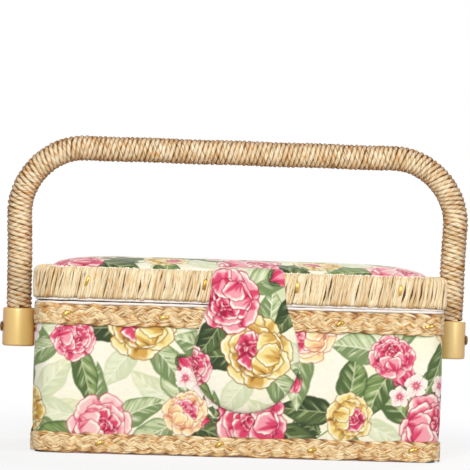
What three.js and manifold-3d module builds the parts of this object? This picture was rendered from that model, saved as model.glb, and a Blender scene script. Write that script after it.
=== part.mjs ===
// A fabric-covered sewing box with a padded, raffia-rimmed lid, a closing tab and a straw-wound handle.
// Millimetres. +Z is up, +X runs to the right along the front, and the front faces -Y.
// The origin lies on the surface that the box stands on, under the middle of its walls.
import * as THREE from "three";
import { mergeVertices } from "three/addons/utils/BufferGeometryUtils.js";
import Module from "manifold-3d";

const wasm = await Module();
wasm.setup();

// Clearances
const GLUE_GAP = 0.15; // between pieces that are glued or sewn together
const SOFT_GAP = 0.3; // round a soft piece, and between pieces that are tucked beside each other
const RUN_GAP = 0.1; // round a rivet, and beside what turns with it
const LID_GAP = 0.3; // between the lip of the box and the closed lid

// Walls of the box, from the printed cloth inwards
const BOX_WIDTH = 185;
const BOX_DEPTH = 106;
const CORNER_RADIUS = 8;
const COVER_THICK = 1.2;
const BOARD_THICK = 2.5;
const LINING_THICK = 1.2;
const WALL_HEIGHT = 67.4; // of the boards, above the cloth under the base
const BASE_CLOTH_THICK = 0.6;
const BASE_CLOTH_INSET = 1;
const FLOOR_PAD_THICK = 2;
const LIP_THICK = 1.2;
const LIP_OVERHANG = 0.5; // of the lip's binding past the printed cloth

// Straw braids round the top and the bottom of the walls
const BRAID_THICK = 1.2;
const TOP_BRAID_HEIGHT = 10.2;
const BOTTOM_BRAID_HEIGHT = 9.3;
const TOP_BRAID_DROP = 0.2; // from the top of the cloth down to the braid
const BRAID_LIFT = 0.4; // of the bottom braid above the ground

// Lid, whose raffia rim is wound over the edge of its board and a core that lies on that edge
const RIM_OVERHANG = 1.7;
const RIM_HEIGHT = 13.6;
const RIM_WIDTH = 8.4; // less than the corner radius of its outer face
const RIM_WRAP_THICK = 1.4;
const RIM_EDGE_RADIUS = 4.2;
const LID_BOARD_THICK = 2.2;
const RIM_CORE_WIDTH = 6.2;
const LID_LINING_THICK = 0.9;
const LID_LINING_INSET = 2.2; // from the rim's outer face
const CROWN_HEIGHT = 5.2; // of the padded top above the rim
const CROWN_EDGE = 0.4; // how far the padded top lies below the rim where the two meet
const LID_CLOTH_THICK = 1;

// Closing tab, sewn to the lid a little to the right of its middle
const TAB_OFFSET = 2.8;
const TAB_TOP_WIDTH = 31;
const TAB_NECK_WIDTH = 35; // where the strap leaves the rim and the flap begins
const TAB_WIDTH = 48.6;
const TAB_SHOULDER_DROP = 26; // from the top of the flap down to its widest place
const TAB_STRAP_THICK = 1.6;
const TAB_FLAP_THICK = 3;
const TAB_EDGE_RADIUS = 0.9;
const SNAP_RADIUS = 7;
const SNAP_THICK = 0.7;
const SNAP_DROP = 2; // of the snap below the flap's widest place

// Handle, a bent core wound with straw cord between two moulded end caps
const HANDLE_RISE = 85; // from the pivots up to the middle of the grip
const HANDLE_BEND_RADIUS = 30.5;
const LEG_LEAN = 1.5; // degrees that each leg leans outwards
const CORE_RADIUS = 3.3;
const CORD_RADIUS = 1.2;
const CORD_TURNS = 96;
const CAP_RADIUS = 7.6;
const CAP_LENGTH = 18;
const CAP_EDGE_RADIUS = 0.8;
const CAP_GAP = 0.35; // between a cap and the braid that it passes

// Rivets that the handle turns on, each with a bush outside the wall and a washer inside it
const RIVET_RADIUS = 1.5;
const RIVET_HEAD_RADIUS = 2.5;
const RIVET_HEAD_HEIGHT = 1.3;
const CAP_WALL_ABOVE_RIVET = 1.5; // between the rivet and the bottom of the socket in the cap
const BUSH_RADIUS = 2.4;
const WASHER_RADIUS = 4.5;
const WASHER_THICK = 0.6;

// Cloth hinge along the back
const HINGE_TAPE_THICK = 0.6;
const HINGE_TAPE_INSET = 12; // of each end of the tape from the corner of the box

// How finely round shapes are faceted
const CORNER_STEPS = 4; // for each quarter round
const LATHE_STEPS = 24;
const CORE_SIDES = 10;
const CORD_SIDES = 5;
const CORD_STEPS = 8; // for each turn
const CROWN_CELLS = [16, 12];

// Heights of the stack, from the ground up
const boardBottom = BASE_CLOTH_THICK + GLUE_GAP;
const boardTop = boardBottom + WALL_HEIGHT;
const lipBottom = boardTop + GLUE_GAP;
const lipTop = lipBottom + LIP_THICK;
const lidBottom = lipTop + LID_GAP;
const rimBottom = lidBottom + LID_LINING_THICK + GLUE_GAP;
const rimTop = rimBottom + RIM_HEIGHT;
const lidBoardBottom = rimBottom + RIM_WRAP_THICK + SOFT_GAP;
const lidBoardTop = lidBoardBottom + LID_BOARD_THICK;
const coreBottom = lidBoardTop + SOFT_GAP;
const coreTop = rimTop - RIM_WRAP_THICK - SOFT_GAP;

// Half sizes of the stack, from the printed cloth inwards and outwards
const coverHalf = [BOX_WIDTH / 2, BOX_DEPTH / 2];
const inset = (half, by) => half.map((size) => size - by);
const coverInner = inset(coverHalf, COVER_THICK);
const boardHalf = inset(coverInner, SOFT_GAP);
const boardInner = inset(boardHalf, BOARD_THICK);
const liningHalf = inset(boardInner, GLUE_GAP);
const roomHalf = inset(liningHalf, LINING_THICK);
const braidInner = inset(coverHalf, -GLUE_GAP);
const braidHalf = inset(braidInner, -BRAID_THICK);
const rimHalf = inset(coverHalf, -RIM_OVERHANG);
const rimOpening = inset(rimHalf, RIM_WIDTH);
const openingRadius = CORNER_RADIUS + RIM_OVERHANG - RIM_WIDTH;
const squareInRound = openingRadius - (openingRadius - SOFT_GAP) / Math.SQRT2; // clears the rounded corners
const crownHalf = inset(rimOpening, Math.max(SOFT_GAP, squareInRound));

// Handle places: its bushes bear on the printed cloth just under the top braid
const topBraidBottom = boardTop - TOP_BRAID_DROP - TOP_BRAID_HEIGHT;
const pivotHeight = topBraidBottom - SOFT_GAP - BUSH_RADIUS;
const capX = braidHalf[0] + CAP_GAP + CAP_RADIUS;
const capTop = pivotHeight + CAP_LENGTH / 2;
const socketBottom = pivotHeight + RIVET_RADIUS + CAP_WALL_ABOVE_RIVET;
const windingRadius = CORE_RADIUS + SOFT_GAP + CORD_RADIUS;
const flapTop = rimBottom - GLUE_GAP;
const flapBack = -(Math.max(rimHalf[1], braidHalf[1]) + SOFT_GAP);

// Colours and finishes
function finish(color, roughness, metalness = 0) {
  return new THREE.MeshStandardMaterial({ color, roughness, metalness });
}
const printedCloth = finish(0xf3e6c8, 0.85);
const satin = finish(0xf2ece2, 0.45);
const straw = finish(0xd9b276, 0.6);
const raffia = finish(0xe2c48f, 0.65);
const board = finish(0xa98a62, 0.9);
const foam = finish(0xf4efe2, 0.95);
const cane = finish(0xb58a52, 0.7);
const goldPlastic = finish(0xd9ac4d, 0.35, 0.25);
const brass = finish(0xb8923f, 0.35, 0.9);

// A rounded rectangle about the origin, as a shape
function roundedRectangle([x, y], radius) {
  const shape = new THREE.Shape();
  const corners = [[x, y, 0], [-x, y, 1], [-x, -y, 2], [x, -y, 3]];
  for (const [cornerX, cornerY, quarter] of corners) {
    const start = (quarter * Math.PI) / 2;
    const centreX = cornerX - Math.sign(cornerX) * radius;
    const centreY = cornerY - Math.sign(cornerY) * radius;
    shape.absarc(centreX, centreY, radius, start, start + Math.PI / 2, false);
  }
  return shape;
}

// A flat shape given a thickness upwards from z = 0
function plate(shape, thickness) {
  const curveSegments = CORNER_STEPS / 2; // an arc of a shape gets twice as many
  return new THREE.ExtrudeGeometry(shape, { depth: thickness, bevelEnabled: false, curveSegments });
}

// A plain block between two corners
function block(low, high) {
  const size = high.map((value, axis) => value - low[axis]);
  const middle = high.map((value, axis) => (value + low[axis]) / 2);
  return new THREE.BoxGeometry(...size).translate(...middle);
}

// A closed surface through rings of as many points each.
// The ends are capped, or the last ring joins the first.
function loft(rings, closed = false) {
  const count = rings[0].length;
  const positions = rings.flat(2);
  const index = [];
  const spans = closed ? rings.length : rings.length - 1;
  for (let ring = 0; ring < spans; ring++) {
    const here = ring * count;
    const next = ((ring + 1) % rings.length) * count;
    for (let point = 0; point < count; point++) {
      const beside = (point + 1) % count;
      index.push(here + point, next + point, next + beside, here + point, next + beside, here + beside);
    }
  }
  if (!closed) {
    const last = (rings.length - 1) * count;
    for (let point = 1; point < count - 1; point++) {
      index.push(0, point, point + 1, last, last + point + 1, last + point);
    }
  }
  return facingOut(positions, index);
}

// A geometry from points and triangles, with its triangles turned round if they face inwards
function facingOut(positions, index) {
  const at = (corner) => new THREE.Vector3().fromArray(positions, 3 * corner);
  let volume = 0;
  for (let i = 0; i < index.length; i += 3) {
    volume += at(index[i]).dot(at(index[i + 1]).cross(at(index[i + 2])));
  }
  const geometry = new THREE.BufferGeometry();
  geometry.setAttribute("position", new THREE.Float32BufferAttribute(positions, 3));
  geometry.setIndex(volume < 0 ? index.toReversed() : index);
  geometry.computeVertexNormals();
  return geometry;
}

// The rings that carry a section, given as [outwards, up] points, round a rounded rectangle
function sectionRound(half, radius, section) {
  const path = roundedRectangle(half, radius).getPoints(CORNER_STEPS / 2);
  const outline = path.filter((point, i) => i === 0 || point.distanceTo(path[i - 1]) > GLUE_GAP);
  if (outline[0].distanceTo(outline.at(-1)) < GLUE_GAP) outline.pop();
  return outline.map((point) => {
    const centre = new THREE.Vector2(
      THREE.MathUtils.clamp(point.x, radius - half[0], half[0] - radius),
      THREE.MathUtils.clamp(point.y, radius - half[1], half[1] - radius),
    );
    const out = point.clone().sub(centre).normalize();
    return section.map(([away, up]) => [point.x + out.x * away, point.y + out.y * away, up]);
  });
}

// A manifold solid from a closed geometry, and a geometry from a manifold solid
function solidOf(geometry) {
  const bare = geometry.clone();
  bare.deleteAttribute("normal");
  bare.deleteAttribute("uv");
  const merged = mergeVertices(bare);
  const triVerts = new Uint32Array(merged.index.array);
  return new wasm.Manifold(
    new wasm.Mesh({ numProp: 3, vertProperties: merged.attributes.position.array, triVerts }),
  );
}
function geometryOf(solid) {
  const { vertProperties, triVerts } = solid.getMesh();
  const geometry = new THREE.BufferGeometry();
  geometry.setAttribute("position", new THREE.BufferAttribute(vertProperties, 3));
  geometry.setIndex(new THREE.BufferAttribute(triVerts, 1));
  geometry.computeVertexNormals();
  return geometry;
}

// A geometry with cutters taken out of it
function cut(geometry, ...cutters) {
  return geometryOf(cutters.reduce((solid, cutter) => solid.subtract(solidOf(cutter)), solidOf(geometry)));
}

// The hole that a rivet passes through, right across the box along the pivot axis
function rivetHole(radius = RIVET_RADIUS + RUN_GAP) {
  const length = 2 * (capX + 2 * CAP_RADIUS);
  const bar = new THREE.CylinderGeometry(radius, radius, length, LATHE_STEPS);
  return bar.rotateZ(Math.PI / 2).translate(0, 0, pivotHeight);
}

// A solid of revolution about +Z from [radius, height] points that start and end on the axis, or close
function turned(profile) {
  const points = profile.map(([radius, height]) => new THREE.Vector2(radius, height));
  return new THREE.LatheGeometry(points, LATHE_STEPS).rotateX(Math.PI / 2);
}

// Points of a quarter round between two directions, for profiles and outlines
function arc(centreX, centreY, radius, from, to, steps) {
  return Array.from({ length: steps + 1 }, (_, i) => {
    const angle = THREE.MathUtils.degToRad(from + ((to - from) * i) / steps);
    return [centreX + radius * Math.cos(angle), centreY + radius * Math.sin(angle)];
  });
}

// A named mesh in a group
function add(group, name, geometry, material) {
  const mesh = new THREE.Mesh(geometry, material);
  mesh.name = name;
  group.add(mesh);
  return mesh;
}

// The wall boards: the front and back ones run the full width, and all follow the rounded corners outside
function roundedBoard(low, high) {
  const outline = roundedRectangle(boardHalf, CORNER_RADIUS - COVER_THICK - SOFT_GAP);
  const prism = plate(outline, WALL_HEIGHT).translate(0, 0, boardBottom);
  return geometryOf(solidOf(block(low, high)).intersect(solidOf(prism)));
}
function longBoard(side) {
  const low = [-boardHalf[0], -boardHalf[1], boardBottom];
  const geometry = roundedBoard(low, [boardHalf[0], -boardInner[1], boardTop]);
  return side < 0 ? geometry : geometry.rotateZ(Math.PI);
}
function endBoard(side) {
  const low = [boardInner[0], -boardInner[1] + GLUE_GAP, boardBottom];
  const high = [boardHalf[0], boardInner[1] - GLUE_GAP, boardTop];
  const geometry = cut(roundedBoard(low, high), rivetHole());
  return side > 0 ? geometry : geometry.rotateZ(Math.PI);
}

// The printed cloth with its thin padding, one sleeve round the walls
function wallCover() {
  const shape = roundedRectangle(coverHalf, CORNER_RADIUS);
  shape.holes.push(roundedRectangle(coverInner, CORNER_RADIUS - COVER_THICK));
  const sleeve = plate(shape, WALL_HEIGHT).translate(0, 0, boardBottom);
  return cut(sleeve, rivetHole());
}

// The satin panels inside the walls: the long ones run full width and the short ones stand between them
const floorTop = boardBottom + BOARD_THICK + GLUE_GAP + FLOOR_PAD_THICK;
function longLining(side) {
  const bottom = floorTop + SOFT_GAP;
  const geometry = block([-liningHalf[0], -liningHalf[1], bottom], [liningHalf[0], -roomHalf[1], boardTop]);
  return side < 0 ? geometry : geometry.rotateZ(Math.PI);
}
function endLining(side) {
  const bottom = floorTop + SOFT_GAP;
  const low = [roomHalf[0], -roomHalf[1] + GLUE_GAP, bottom];
  const high = [liningHalf[0], roomHalf[1] - GLUE_GAP, boardTop];
  const geometry = cut(block(low, high), rivetHole());
  return side > 0 ? geometry : geometry.rotateZ(Math.PI);
}

// The white binding that caps the walls
function lipBinding() {
  const shape = roundedRectangle(inset(coverHalf, -LIP_OVERHANG), CORNER_RADIUS);
  shape.holes.push(roundedRectangle(roomHalf, GLUE_GAP + RUN_GAP));
  return plate(shape, LIP_THICK).translate(0, 0, lipBottom);
}

// A straw braid round the walls: a flat band with rounded edges
function braid(bottom, height) {
  const edge = BRAID_THICK / 2;
  const low = arc(edge, bottom + edge, edge, 180, 360, CORNER_STEPS);
  const high = arc(edge, bottom + height - edge, edge, 0, 180, CORNER_STEPS);
  return loft(sectionRound(braidInner, CORNER_RADIUS + GLUE_GAP, [...low, ...high]), true);
}

// Outline of the raffia rim from under the lid, up its outer face and over the top, as [outwards, up]
function rimOutline(away, lowestRadius = RIM_EDGE_RADIUS) {
  const radius = lowestRadius + away;
  const lowerCentre = rimBottom + lowestRadius;
  const upperCentre = rimTop - lowestRadius;
  return [
    ...arc(-lowestRadius, lowerCentre, radius, 270, 360, CORNER_STEPS),
    ...arc(-lowestRadius, upperCentre, radius, 0, 90, CORNER_STEPS),
  ];
}

// The wound raffia: a channel that closes over the face, top and bottom of the core and the board's edge
function rimWrap() {
  const outer = rimOutline(0);
  const inner = rimOutline(-RIM_WRAP_THICK).toReversed();
  const section = [
    [-RIM_WIDTH, rimBottom],
    ...outer,
    [-RIM_WIDTH, rimTop],
    [-RIM_WIDTH, rimTop - RIM_WRAP_THICK],
    ...inner,
    [-RIM_WIDTH, rimBottom + RIM_WRAP_THICK],
  ];
  return loft(sectionRound(rimHalf, CORNER_RADIUS + RIM_OVERHANG, section), true);
}

// The core under the raffia, which follows the round of the rim at its outer top edge
function rimCore() {
  const outer = -RIM_WRAP_THICK - SOFT_GAP;
  const radius = RIM_EDGE_RADIUS - RIM_WRAP_THICK - SOFT_GAP;
  const section = [
    [outer - RIM_CORE_WIDTH, coreBottom],
    [outer, coreBottom],
    ...arc(outer - radius, coreTop - radius, radius, 0, 90, CORNER_STEPS),
    [outer - RIM_CORE_WIDTH, coreTop],
  ];
  return loft(sectionRound(rimHalf, CORNER_RADIUS + RIM_OVERHANG, section), true);
}

// The board of the lid, whose edge lies inside the raffia under the core
function lidBoard() {
  const hollow = RIM_EDGE_RADIUS - RIM_WRAP_THICK;
  const reach = RIM_EDGE_RADIUS - Math.sqrt(hollow ** 2 - (hollow - SOFT_GAP) ** 2);
  const half = inset(rimHalf, reach + SOFT_GAP);
  return plate(roundedRectangle(half, CORNER_RADIUS), LID_BOARD_THICK).translate(0, 0, lidBoardBottom);
}

// Height of the padded top over the lid: flat in the middle, falling to the rim along a superellipse
function crown(x, y) {
  const across = Math.abs(x / crownHalf[0]) ** 5;
  const along = Math.abs(y / crownHalf[1]) ** 3.2;
  const share = Math.sqrt(Math.max(0, (1 - across) * (1 - along)));
  return rimTop - CROWN_EDGE + (CROWN_HEIGHT + CROWN_EDGE) * share;
}

// A pad whose top follows the crown, lowered, over a bottom that is flat or follows the crown too
function crownedPad(topDrop, bottomAt) {
  const [columns, rows] = CROWN_CELLS;
  const positions = [];
  const index = [];
  const width = columns + 1;
  const ease = (share) => Math.sin((share - 0.5) * Math.PI);
  for (const level of [0, 1]) {
    for (let row = 0; row <= rows; row++) {
      for (let column = 0; column <= columns; column++) {
        const x = crownHalf[0] * ease(column / columns);
        const y = crownHalf[1] * ease(row / rows);
        positions.push(x, y, level ? crown(x, y) - topDrop : bottomAt(x, y));
      }
    }
  }
  const layer = width * (rows + 1);
  for (let row = 0; row < rows; row++) {
    for (let column = 0; column < columns; column++) {
      const a = row * width + column;
      const b = a + 1;
      const c = b + width;
      const d = a + width;
      index.push(layer + a, layer + b, layer + c, layer + a, layer + c, layer + d);
      index.push(a, c, b, a, d, c);
    }
  }
  const rimWalk = [
    ...Array.from({ length: columns }, (_, i) => i),
    ...Array.from({ length: rows }, (_, i) => i * width + columns),
    ...Array.from({ length: columns }, (_, i) => rows * width + columns - i),
    ...Array.from({ length: rows }, (_, i) => (rows - i) * width),
  ];
  rimWalk.forEach((a, i) => {
    const b = rimWalk[(i + 1) % rimWalk.length];
    index.push(a, b, layer + b, a, layer + b, layer + a);
  });
  return facingOut(positions, index);
}

// The strap of the tab: from the padded top, over the rim and down its face, widening on the way
function tabStrap() {
  const overTop = (away) => rimOutline(away).slice(-CORNER_STEPS - 1);
  const front = overTop(GLUE_GAP + TAB_STRAP_THICK);
  const bottom = flapTop + SOFT_GAP;
  const stations = [
    [[GLUE_GAP, bottom], [GLUE_GAP + TAB_STRAP_THICK, bottom]],
    ...overTop(GLUE_GAP).map((point, i) => [point, front[i]]),
    [[1 - RIM_WIDTH, rimTop + GLUE_GAP], [1 - RIM_WIDTH, rimTop + GLUE_GAP + TAB_STRAP_THICK]],
  ];
  const last = stations.length - 1;
  const rings = stations.map(([inner, outer], i) => {
    const half = THREE.MathUtils.lerp(TAB_NECK_WIDTH, TAB_TOP_WIDTH, i / last) / 2;
    const y = ([away]) => -rimHalf[1] - away;
    return [
      [TAB_OFFSET - half, y(inner), inner[1]],
      [TAB_OFFSET + half, y(inner), inner[1]],
      [TAB_OFFSET + half, y(outer), outer[1]],
      [TAB_OFFSET - half, y(outer), outer[1]],
    ];
  });
  return loft(rings);
}

// The padded flap of the tab: its sides flare from the strap to the shoulders, and its end is a half circle
function tabFlap() {
  const edge = TAB_EDGE_RADIUS;
  const neck = TAB_NECK_WIDTH / 2 - edge;
  const round = TAB_WIDTH / 2 - edge;
  const outline = new THREE.Shape();
  outline.moveTo(neck, -edge);
  const shoulder = -TAB_SHOULDER_DROP;
  const waist = (2 * neck + round) / 3;
  outline.bezierCurveTo(waist, shoulder * 0.35, round, shoulder * 0.6, round, shoulder);
  outline.absarc(0, shoulder, round, 0, -Math.PI, true);
  outline.bezierCurveTo(-round, shoulder * 0.6, -waist, shoulder * 0.35, -neck, -edge);
  const geometry = new THREE.ExtrudeGeometry(outline, {
    depth: TAB_FLAP_THICK - 2 * edge,
    bevelThickness: edge,
    bevelSize: edge,
    bevelSegments: 2,
    curveSegments: CORNER_STEPS + 2,
  });
  return geometry.rotateX(Math.PI / 2).translate(TAB_OFFSET, flapBack - edge, flapTop);
}

// A disc of the snap, standing on a wall that faces -Y
function snapDisc(back) {
  const height = flapTop - TAB_SHOULDER_DROP - SNAP_DROP;
  const disc = new THREE.CylinderGeometry(SNAP_RADIUS, SNAP_RADIUS, SNAP_THICK, LATHE_STEPS);
  return disc.translate(TAB_OFFSET, back - SNAP_THICK / 2, height);
}

// Middle line of the handle: leg, bend, grip, bend, leg, worked out along its length in the X-Z plane
class HandleLine extends THREE.Curve {
  constructor(startHeight) {
    super();
    const lean = THREE.MathUtils.degToRad(LEG_LEAN);
    const turn = Math.PI / 2 + lean;
    const rise = pivotHeight + HANDLE_RISE - startHeight;
    const bendRise = HANDLE_BEND_RADIUS * (1 + Math.sin(lean));
    const leg = (rise - bendRise) / Math.cos(lean);
    const bend = HANDLE_BEND_RADIUS * turn;
    const reach = capX + leg * Math.sin(lean) - HANDLE_BEND_RADIUS * Math.cos(lean);
    Object.assign(this, { lean, leg, bend, reach, startHeight, length: 2 * (leg + bend + reach) });
  }

  // The left half from its foot: [x, z, heading], with the heading turning from the leg's to level
  left(along) {
    const { lean, leg, bend, reach, startHeight } = this;
    const footX = -capX;
    if (along <= leg) {
      return [footX - along * Math.sin(lean), startHeight + along * Math.cos(lean), Math.PI / 2 + lean];
    }
    const top = pivotHeight + HANDLE_RISE;
    if (along <= leg + bend) {
      const heading = Math.PI / 2 + lean - (along - leg) / HANDLE_BEND_RADIUS;
      const x = -reach - HANDLE_BEND_RADIUS * Math.sin(heading);
      return [x, top - HANDLE_BEND_RADIUS * (1 - Math.cos(heading)), heading];
    }
    return [-reach + along - leg - bend, top, 0];
  }

  place(along) {
    const mirrored = along > this.length / 2;
    const [x, z, heading] = this.left(mirrored ? this.length - along : along);
    return mirrored ? [-x, z, -heading] : [x, z, heading];
  }

  getPoint(share, target = new THREE.Vector3()) {
    const [x, z] = this.place(share * this.length);
    return target.set(x, 0, z);
  }

  getPointAt(share, target) {
    return this.getPoint(share, target);
  }
}

// The bent core, which stands in the sockets of the two caps
function handleCore() {
  const line = new HandleLine(socketBottom + SOFT_GAP);
  const section = new THREE.Shape().absarc(0, 0, CORE_RADIUS, 0, 2 * Math.PI, false);
  const steps = Math.round(line.length / (2.5 * CORE_RADIUS));
  return new THREE.ExtrudeGeometry(section, { steps, extrudePath: line, curveSegments: CORE_SIDES / 2 });
}

// The straw cord, one unbroken helix round the core from cap to cap, with straight ends that meet the caps
function handleWrap() {
  const line = new HandleLine(capTop + SOFT_GAP);
  const tail = 2 * CORD_RADIUS;
  const wound = line.length - 2 * tail;
  const steps = CORD_TURNS * CORD_STEPS;
  const stations = [[0, 0], [tail / 2, 0]];
  for (let step = 0; step <= steps; step++) {
    stations.push([tail + (wound * step) / steps, (2 * Math.PI * step) / CORD_STEPS]);
  }
  const fullTurn = 2 * Math.PI * CORD_TURNS;
  stations.push([line.length - tail / 2, fullTurn], [line.length, fullTurn]);
  const frames = stations.map(([along, angle]) => {
    const [x, z, heading] = line.place(along);
    const flat = Math.cos(angle);
    const out = new THREE.Vector3(-Math.sin(heading) * flat, Math.sin(angle), Math.cos(heading) * flat);
    const centre = new THREE.Vector3(x, 0, z).addScaledVector(out, windingRadius);
    return { centre, out };
  });
  const last = frames.length - 1;
  const rings = frames.map(({ centre, out }, i) => {
    const before = frames[Math.max(i - 1, 0)].centre;
    const ahead = frames[Math.min(i + 1, last)].centre.clone().sub(before).normalize();
    const aside = new THREE.Vector3().crossVectors(ahead, out).normalize();
    const up = new THREE.Vector3().crossVectors(aside, ahead);
    return Array.from({ length: CORD_SIDES }, (_, side) => {
      const angle = (2 * Math.PI * side) / CORD_SIDES;
      const point = centre.clone().addScaledVector(up, CORD_RADIUS * Math.cos(angle));
      return point.addScaledVector(aside, CORD_RADIUS * Math.sin(angle)).toArray();
    });
  });
  const gap = leastGap(frames.map(({ centre }) => centre));
  console.log(`handle_wrap: least gap between turns ${gap.toFixed(2)} mm`);
  return loft(rings);
}

// The least gap between stretches of the cord that lie more than half a turn apart
function leastGap(centres) {
  let least = Infinity;
  centres.forEach((here, i) => {
    for (let j = i + CORD_STEPS / 2 + 1; j < Math.min(centres.length, i + 3 * CORD_STEPS); j++) {
      least = Math.min(least, here.distanceTo(centres[j]));
    }
  });
  return least - 2 * CORD_RADIUS;
}

// An end cap: a moulded sleeve with a socket for the core in its top and a bore across it for the rivet
function endCap(side) {
  const half = CAP_LENGTH / 2;
  const edge = CAP_EDGE_RADIUS;
  const bore = CORE_RADIUS + SOFT_GAP;
  const floor = socketBottom - pivotHeight;
  const cap = turned([
    [0, -half],
    ...arc(CAP_RADIUS - edge, edge - half, edge, 270, 360, 3),
    ...arc(CAP_RADIUS - edge, half - edge, edge, 0, 90, 3),
    [bore, half],
    [bore, floor],
    [0, floor],
  ]);
  return cut(cap.translate(side * capX, 0, pivotHeight), rivetHole());
}

// A rivet: a domed head outside the cap, a shank through cap, bush and wall, and a clinched end inside
function rivet(side) {
  const head = capX + CAP_RADIUS + RUN_GAP;
  const end = roomHalf[0] - GLUE_GAP - WASHER_THICK - RUN_GAP;
  const shaft = turned([
    [0, end - RIVET_HEAD_HEIGHT],
    [RIVET_HEAD_RADIUS, end - RIVET_HEAD_HEIGHT],
    [RIVET_HEAD_RADIUS, end],
    [RIVET_RADIUS, end],
    [RIVET_RADIUS, head],
    [RIVET_HEAD_RADIUS, head],
    [RIVET_HEAD_RADIUS * 0.8, head + RIVET_HEAD_HEIGHT * 0.7],
    [0, head + RIVET_HEAD_HEIGHT],
  ]);
  const geometry = shaft.rotateY(Math.PI / 2).translate(0, 0, pivotHeight);
  return side > 0 ? geometry : geometry.rotateZ(Math.PI);
}

// A ring on the pivot axis, for the bush outside the wall and the washer inside it
function pivotRing(side, from, to, radius) {
  const bore = RIVET_RADIUS + RUN_GAP;
  const ring = turned([[bore, from], [radius, from], [radius, to], [bore, to], [bore, from]]);
  const geometry = ring.rotateY(Math.PI / 2).translate(0, 0, pivotHeight);
  return side > 0 ? geometry : geometry.rotateZ(Math.PI);
}

// The cloth tape that the lid hinges on, across the gap between the lip and the rim at the back
function hingeTape() {
  const half = BOX_WIDTH / 2 - HINGE_TAPE_INSET;
  const near = coverHalf[1] + LIP_OVERHANG + GLUE_GAP;
  return block([-half, near, lipBottom], [half, near + HINGE_TAPE_THICK, rimBottom - GLUE_GAP]);
}

const part = new THREE.Group();
const box = new THREE.Group();
const lid = new THREE.Group();
const tab = new THREE.Group();
const handle = new THREE.Group();
part.add(box, lid, tab, handle);

const baseHalf = inset(coverHalf, BASE_CLOTH_INSET);
add(box, "base_cloth", plate(roundedRectangle(baseHalf, CORNER_RADIUS), BASE_CLOTH_THICK), printedCloth);
const floorHalf = inset(boardInner, GLUE_GAP);
const floorLow = [-floorHalf[0], -floorHalf[1], boardBottom];
add(box, "bottom_board", block(floorLow, [...floorHalf, boardBottom + BOARD_THICK]), board);
add(box, "front_board", longBoard(-1), board);
add(box, "back_board", longBoard(1), board);
add(box, "left_board", endBoard(-1), board);
add(box, "right_board", endBoard(1), board);
add(box, "wall_cover", wallCover(), printedCloth);
const padLow = [-liningHalf[0], -liningHalf[1], floorTop - FLOOR_PAD_THICK];
add(box, "floor_pad", block(padLow, [...liningHalf, floorTop]), satin);
add(box, "lining_front", longLining(-1), satin);
add(box, "lining_back", longLining(1), satin);
add(box, "lining_left", endLining(-1), satin);
add(box, "lining_right", endLining(1), satin);
add(box, "lip_binding", lipBinding(), satin);
add(box, "top_braid", braid(topBraidBottom, TOP_BRAID_HEIGHT), straw);
add(box, "bottom_braid", braid(BRAID_LIFT, BOTTOM_BRAID_HEIGHT), straw);
add(box, "keeper_plate", snapDisc(-coverHalf[1] - GLUE_GAP), brass);
add(box, "hinge_tape", hingeTape(), satin);

const lidLiningShape = roundedRectangle(inset(rimHalf, LID_LINING_INSET), CORNER_RADIUS);
add(lid, "lid_lining", plate(lidLiningShape, LID_LINING_THICK).translate(0, 0, lidBottom), satin);
add(lid, "lid_board", lidBoard(), board);
add(lid, "rim_core", rimCore(), cane);
add(lid, "rim_wrap", rimWrap(), raffia);
add(lid, "lid_foam", crownedPad(LID_CLOTH_THICK + SOFT_GAP, () => coreBottom), foam);
add(lid, "lid_cover", crownedPad(0, (x, y) => crown(x, y) - LID_CLOTH_THICK), printedCloth);
add(lid, "tab_strap", tabStrap(), printedCloth);

add(tab, "tab_flap", tabFlap(), printedCloth);
add(tab, "tab_magnet", snapDisc(flapBack + GLUE_GAP + SNAP_THICK), brass);

for (const [name, side] of [["left", -1], ["right", 1]]) {
  const washerTo = roomHalf[0] - GLUE_GAP;
  add(box, `${name}_washer`, pivotRing(side, washerTo - WASHER_THICK, washerTo, WASHER_RADIUS), brass);
  add(box, `${name}_rivet`, rivet(side), brass);
  const bushOuter = capX - CAP_RADIUS - RUN_GAP;
  add(box, `${name}_bush`, pivotRing(side, coverHalf[0] + GLUE_GAP, bushOuter, BUSH_RADIUS), brass);
  add(handle, `${name}_cap`, endCap(side), goldPlastic);
}
add(handle, "handle_core", handleCore(), cane);
add(handle, "handle_wrap", handleWrap(), straw);

export default part;
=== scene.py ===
"""Looks of a small fabric-covered sewing box.

Printed cloth covers padded walls and a domed lid, straw braids edge the walls, raffia is wound over the lid's
rim and straw cord over the handle. Lengths are millimetres in the box's own frame until a mesh is made.
"""

import logging
import math
from collections.abc import Sequence
from dataclasses import dataclass
from enum import Enum
from typing import Any

import bpy
import numpy as np
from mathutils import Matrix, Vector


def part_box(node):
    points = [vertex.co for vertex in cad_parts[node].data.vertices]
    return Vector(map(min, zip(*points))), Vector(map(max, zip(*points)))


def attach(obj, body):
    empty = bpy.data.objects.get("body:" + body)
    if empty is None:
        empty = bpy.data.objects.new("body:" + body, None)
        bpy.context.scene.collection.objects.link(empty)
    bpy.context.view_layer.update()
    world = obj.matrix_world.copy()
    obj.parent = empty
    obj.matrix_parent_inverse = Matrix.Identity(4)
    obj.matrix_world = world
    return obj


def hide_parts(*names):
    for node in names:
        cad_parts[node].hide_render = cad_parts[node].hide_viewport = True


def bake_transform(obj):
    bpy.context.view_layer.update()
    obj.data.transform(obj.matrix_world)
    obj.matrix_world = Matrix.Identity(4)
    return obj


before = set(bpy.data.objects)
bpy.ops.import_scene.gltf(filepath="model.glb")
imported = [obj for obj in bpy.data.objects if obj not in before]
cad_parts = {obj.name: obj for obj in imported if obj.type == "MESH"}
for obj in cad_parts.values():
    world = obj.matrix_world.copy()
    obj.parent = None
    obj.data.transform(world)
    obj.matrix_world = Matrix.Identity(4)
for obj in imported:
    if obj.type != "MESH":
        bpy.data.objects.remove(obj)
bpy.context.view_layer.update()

MM = 0.001
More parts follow.
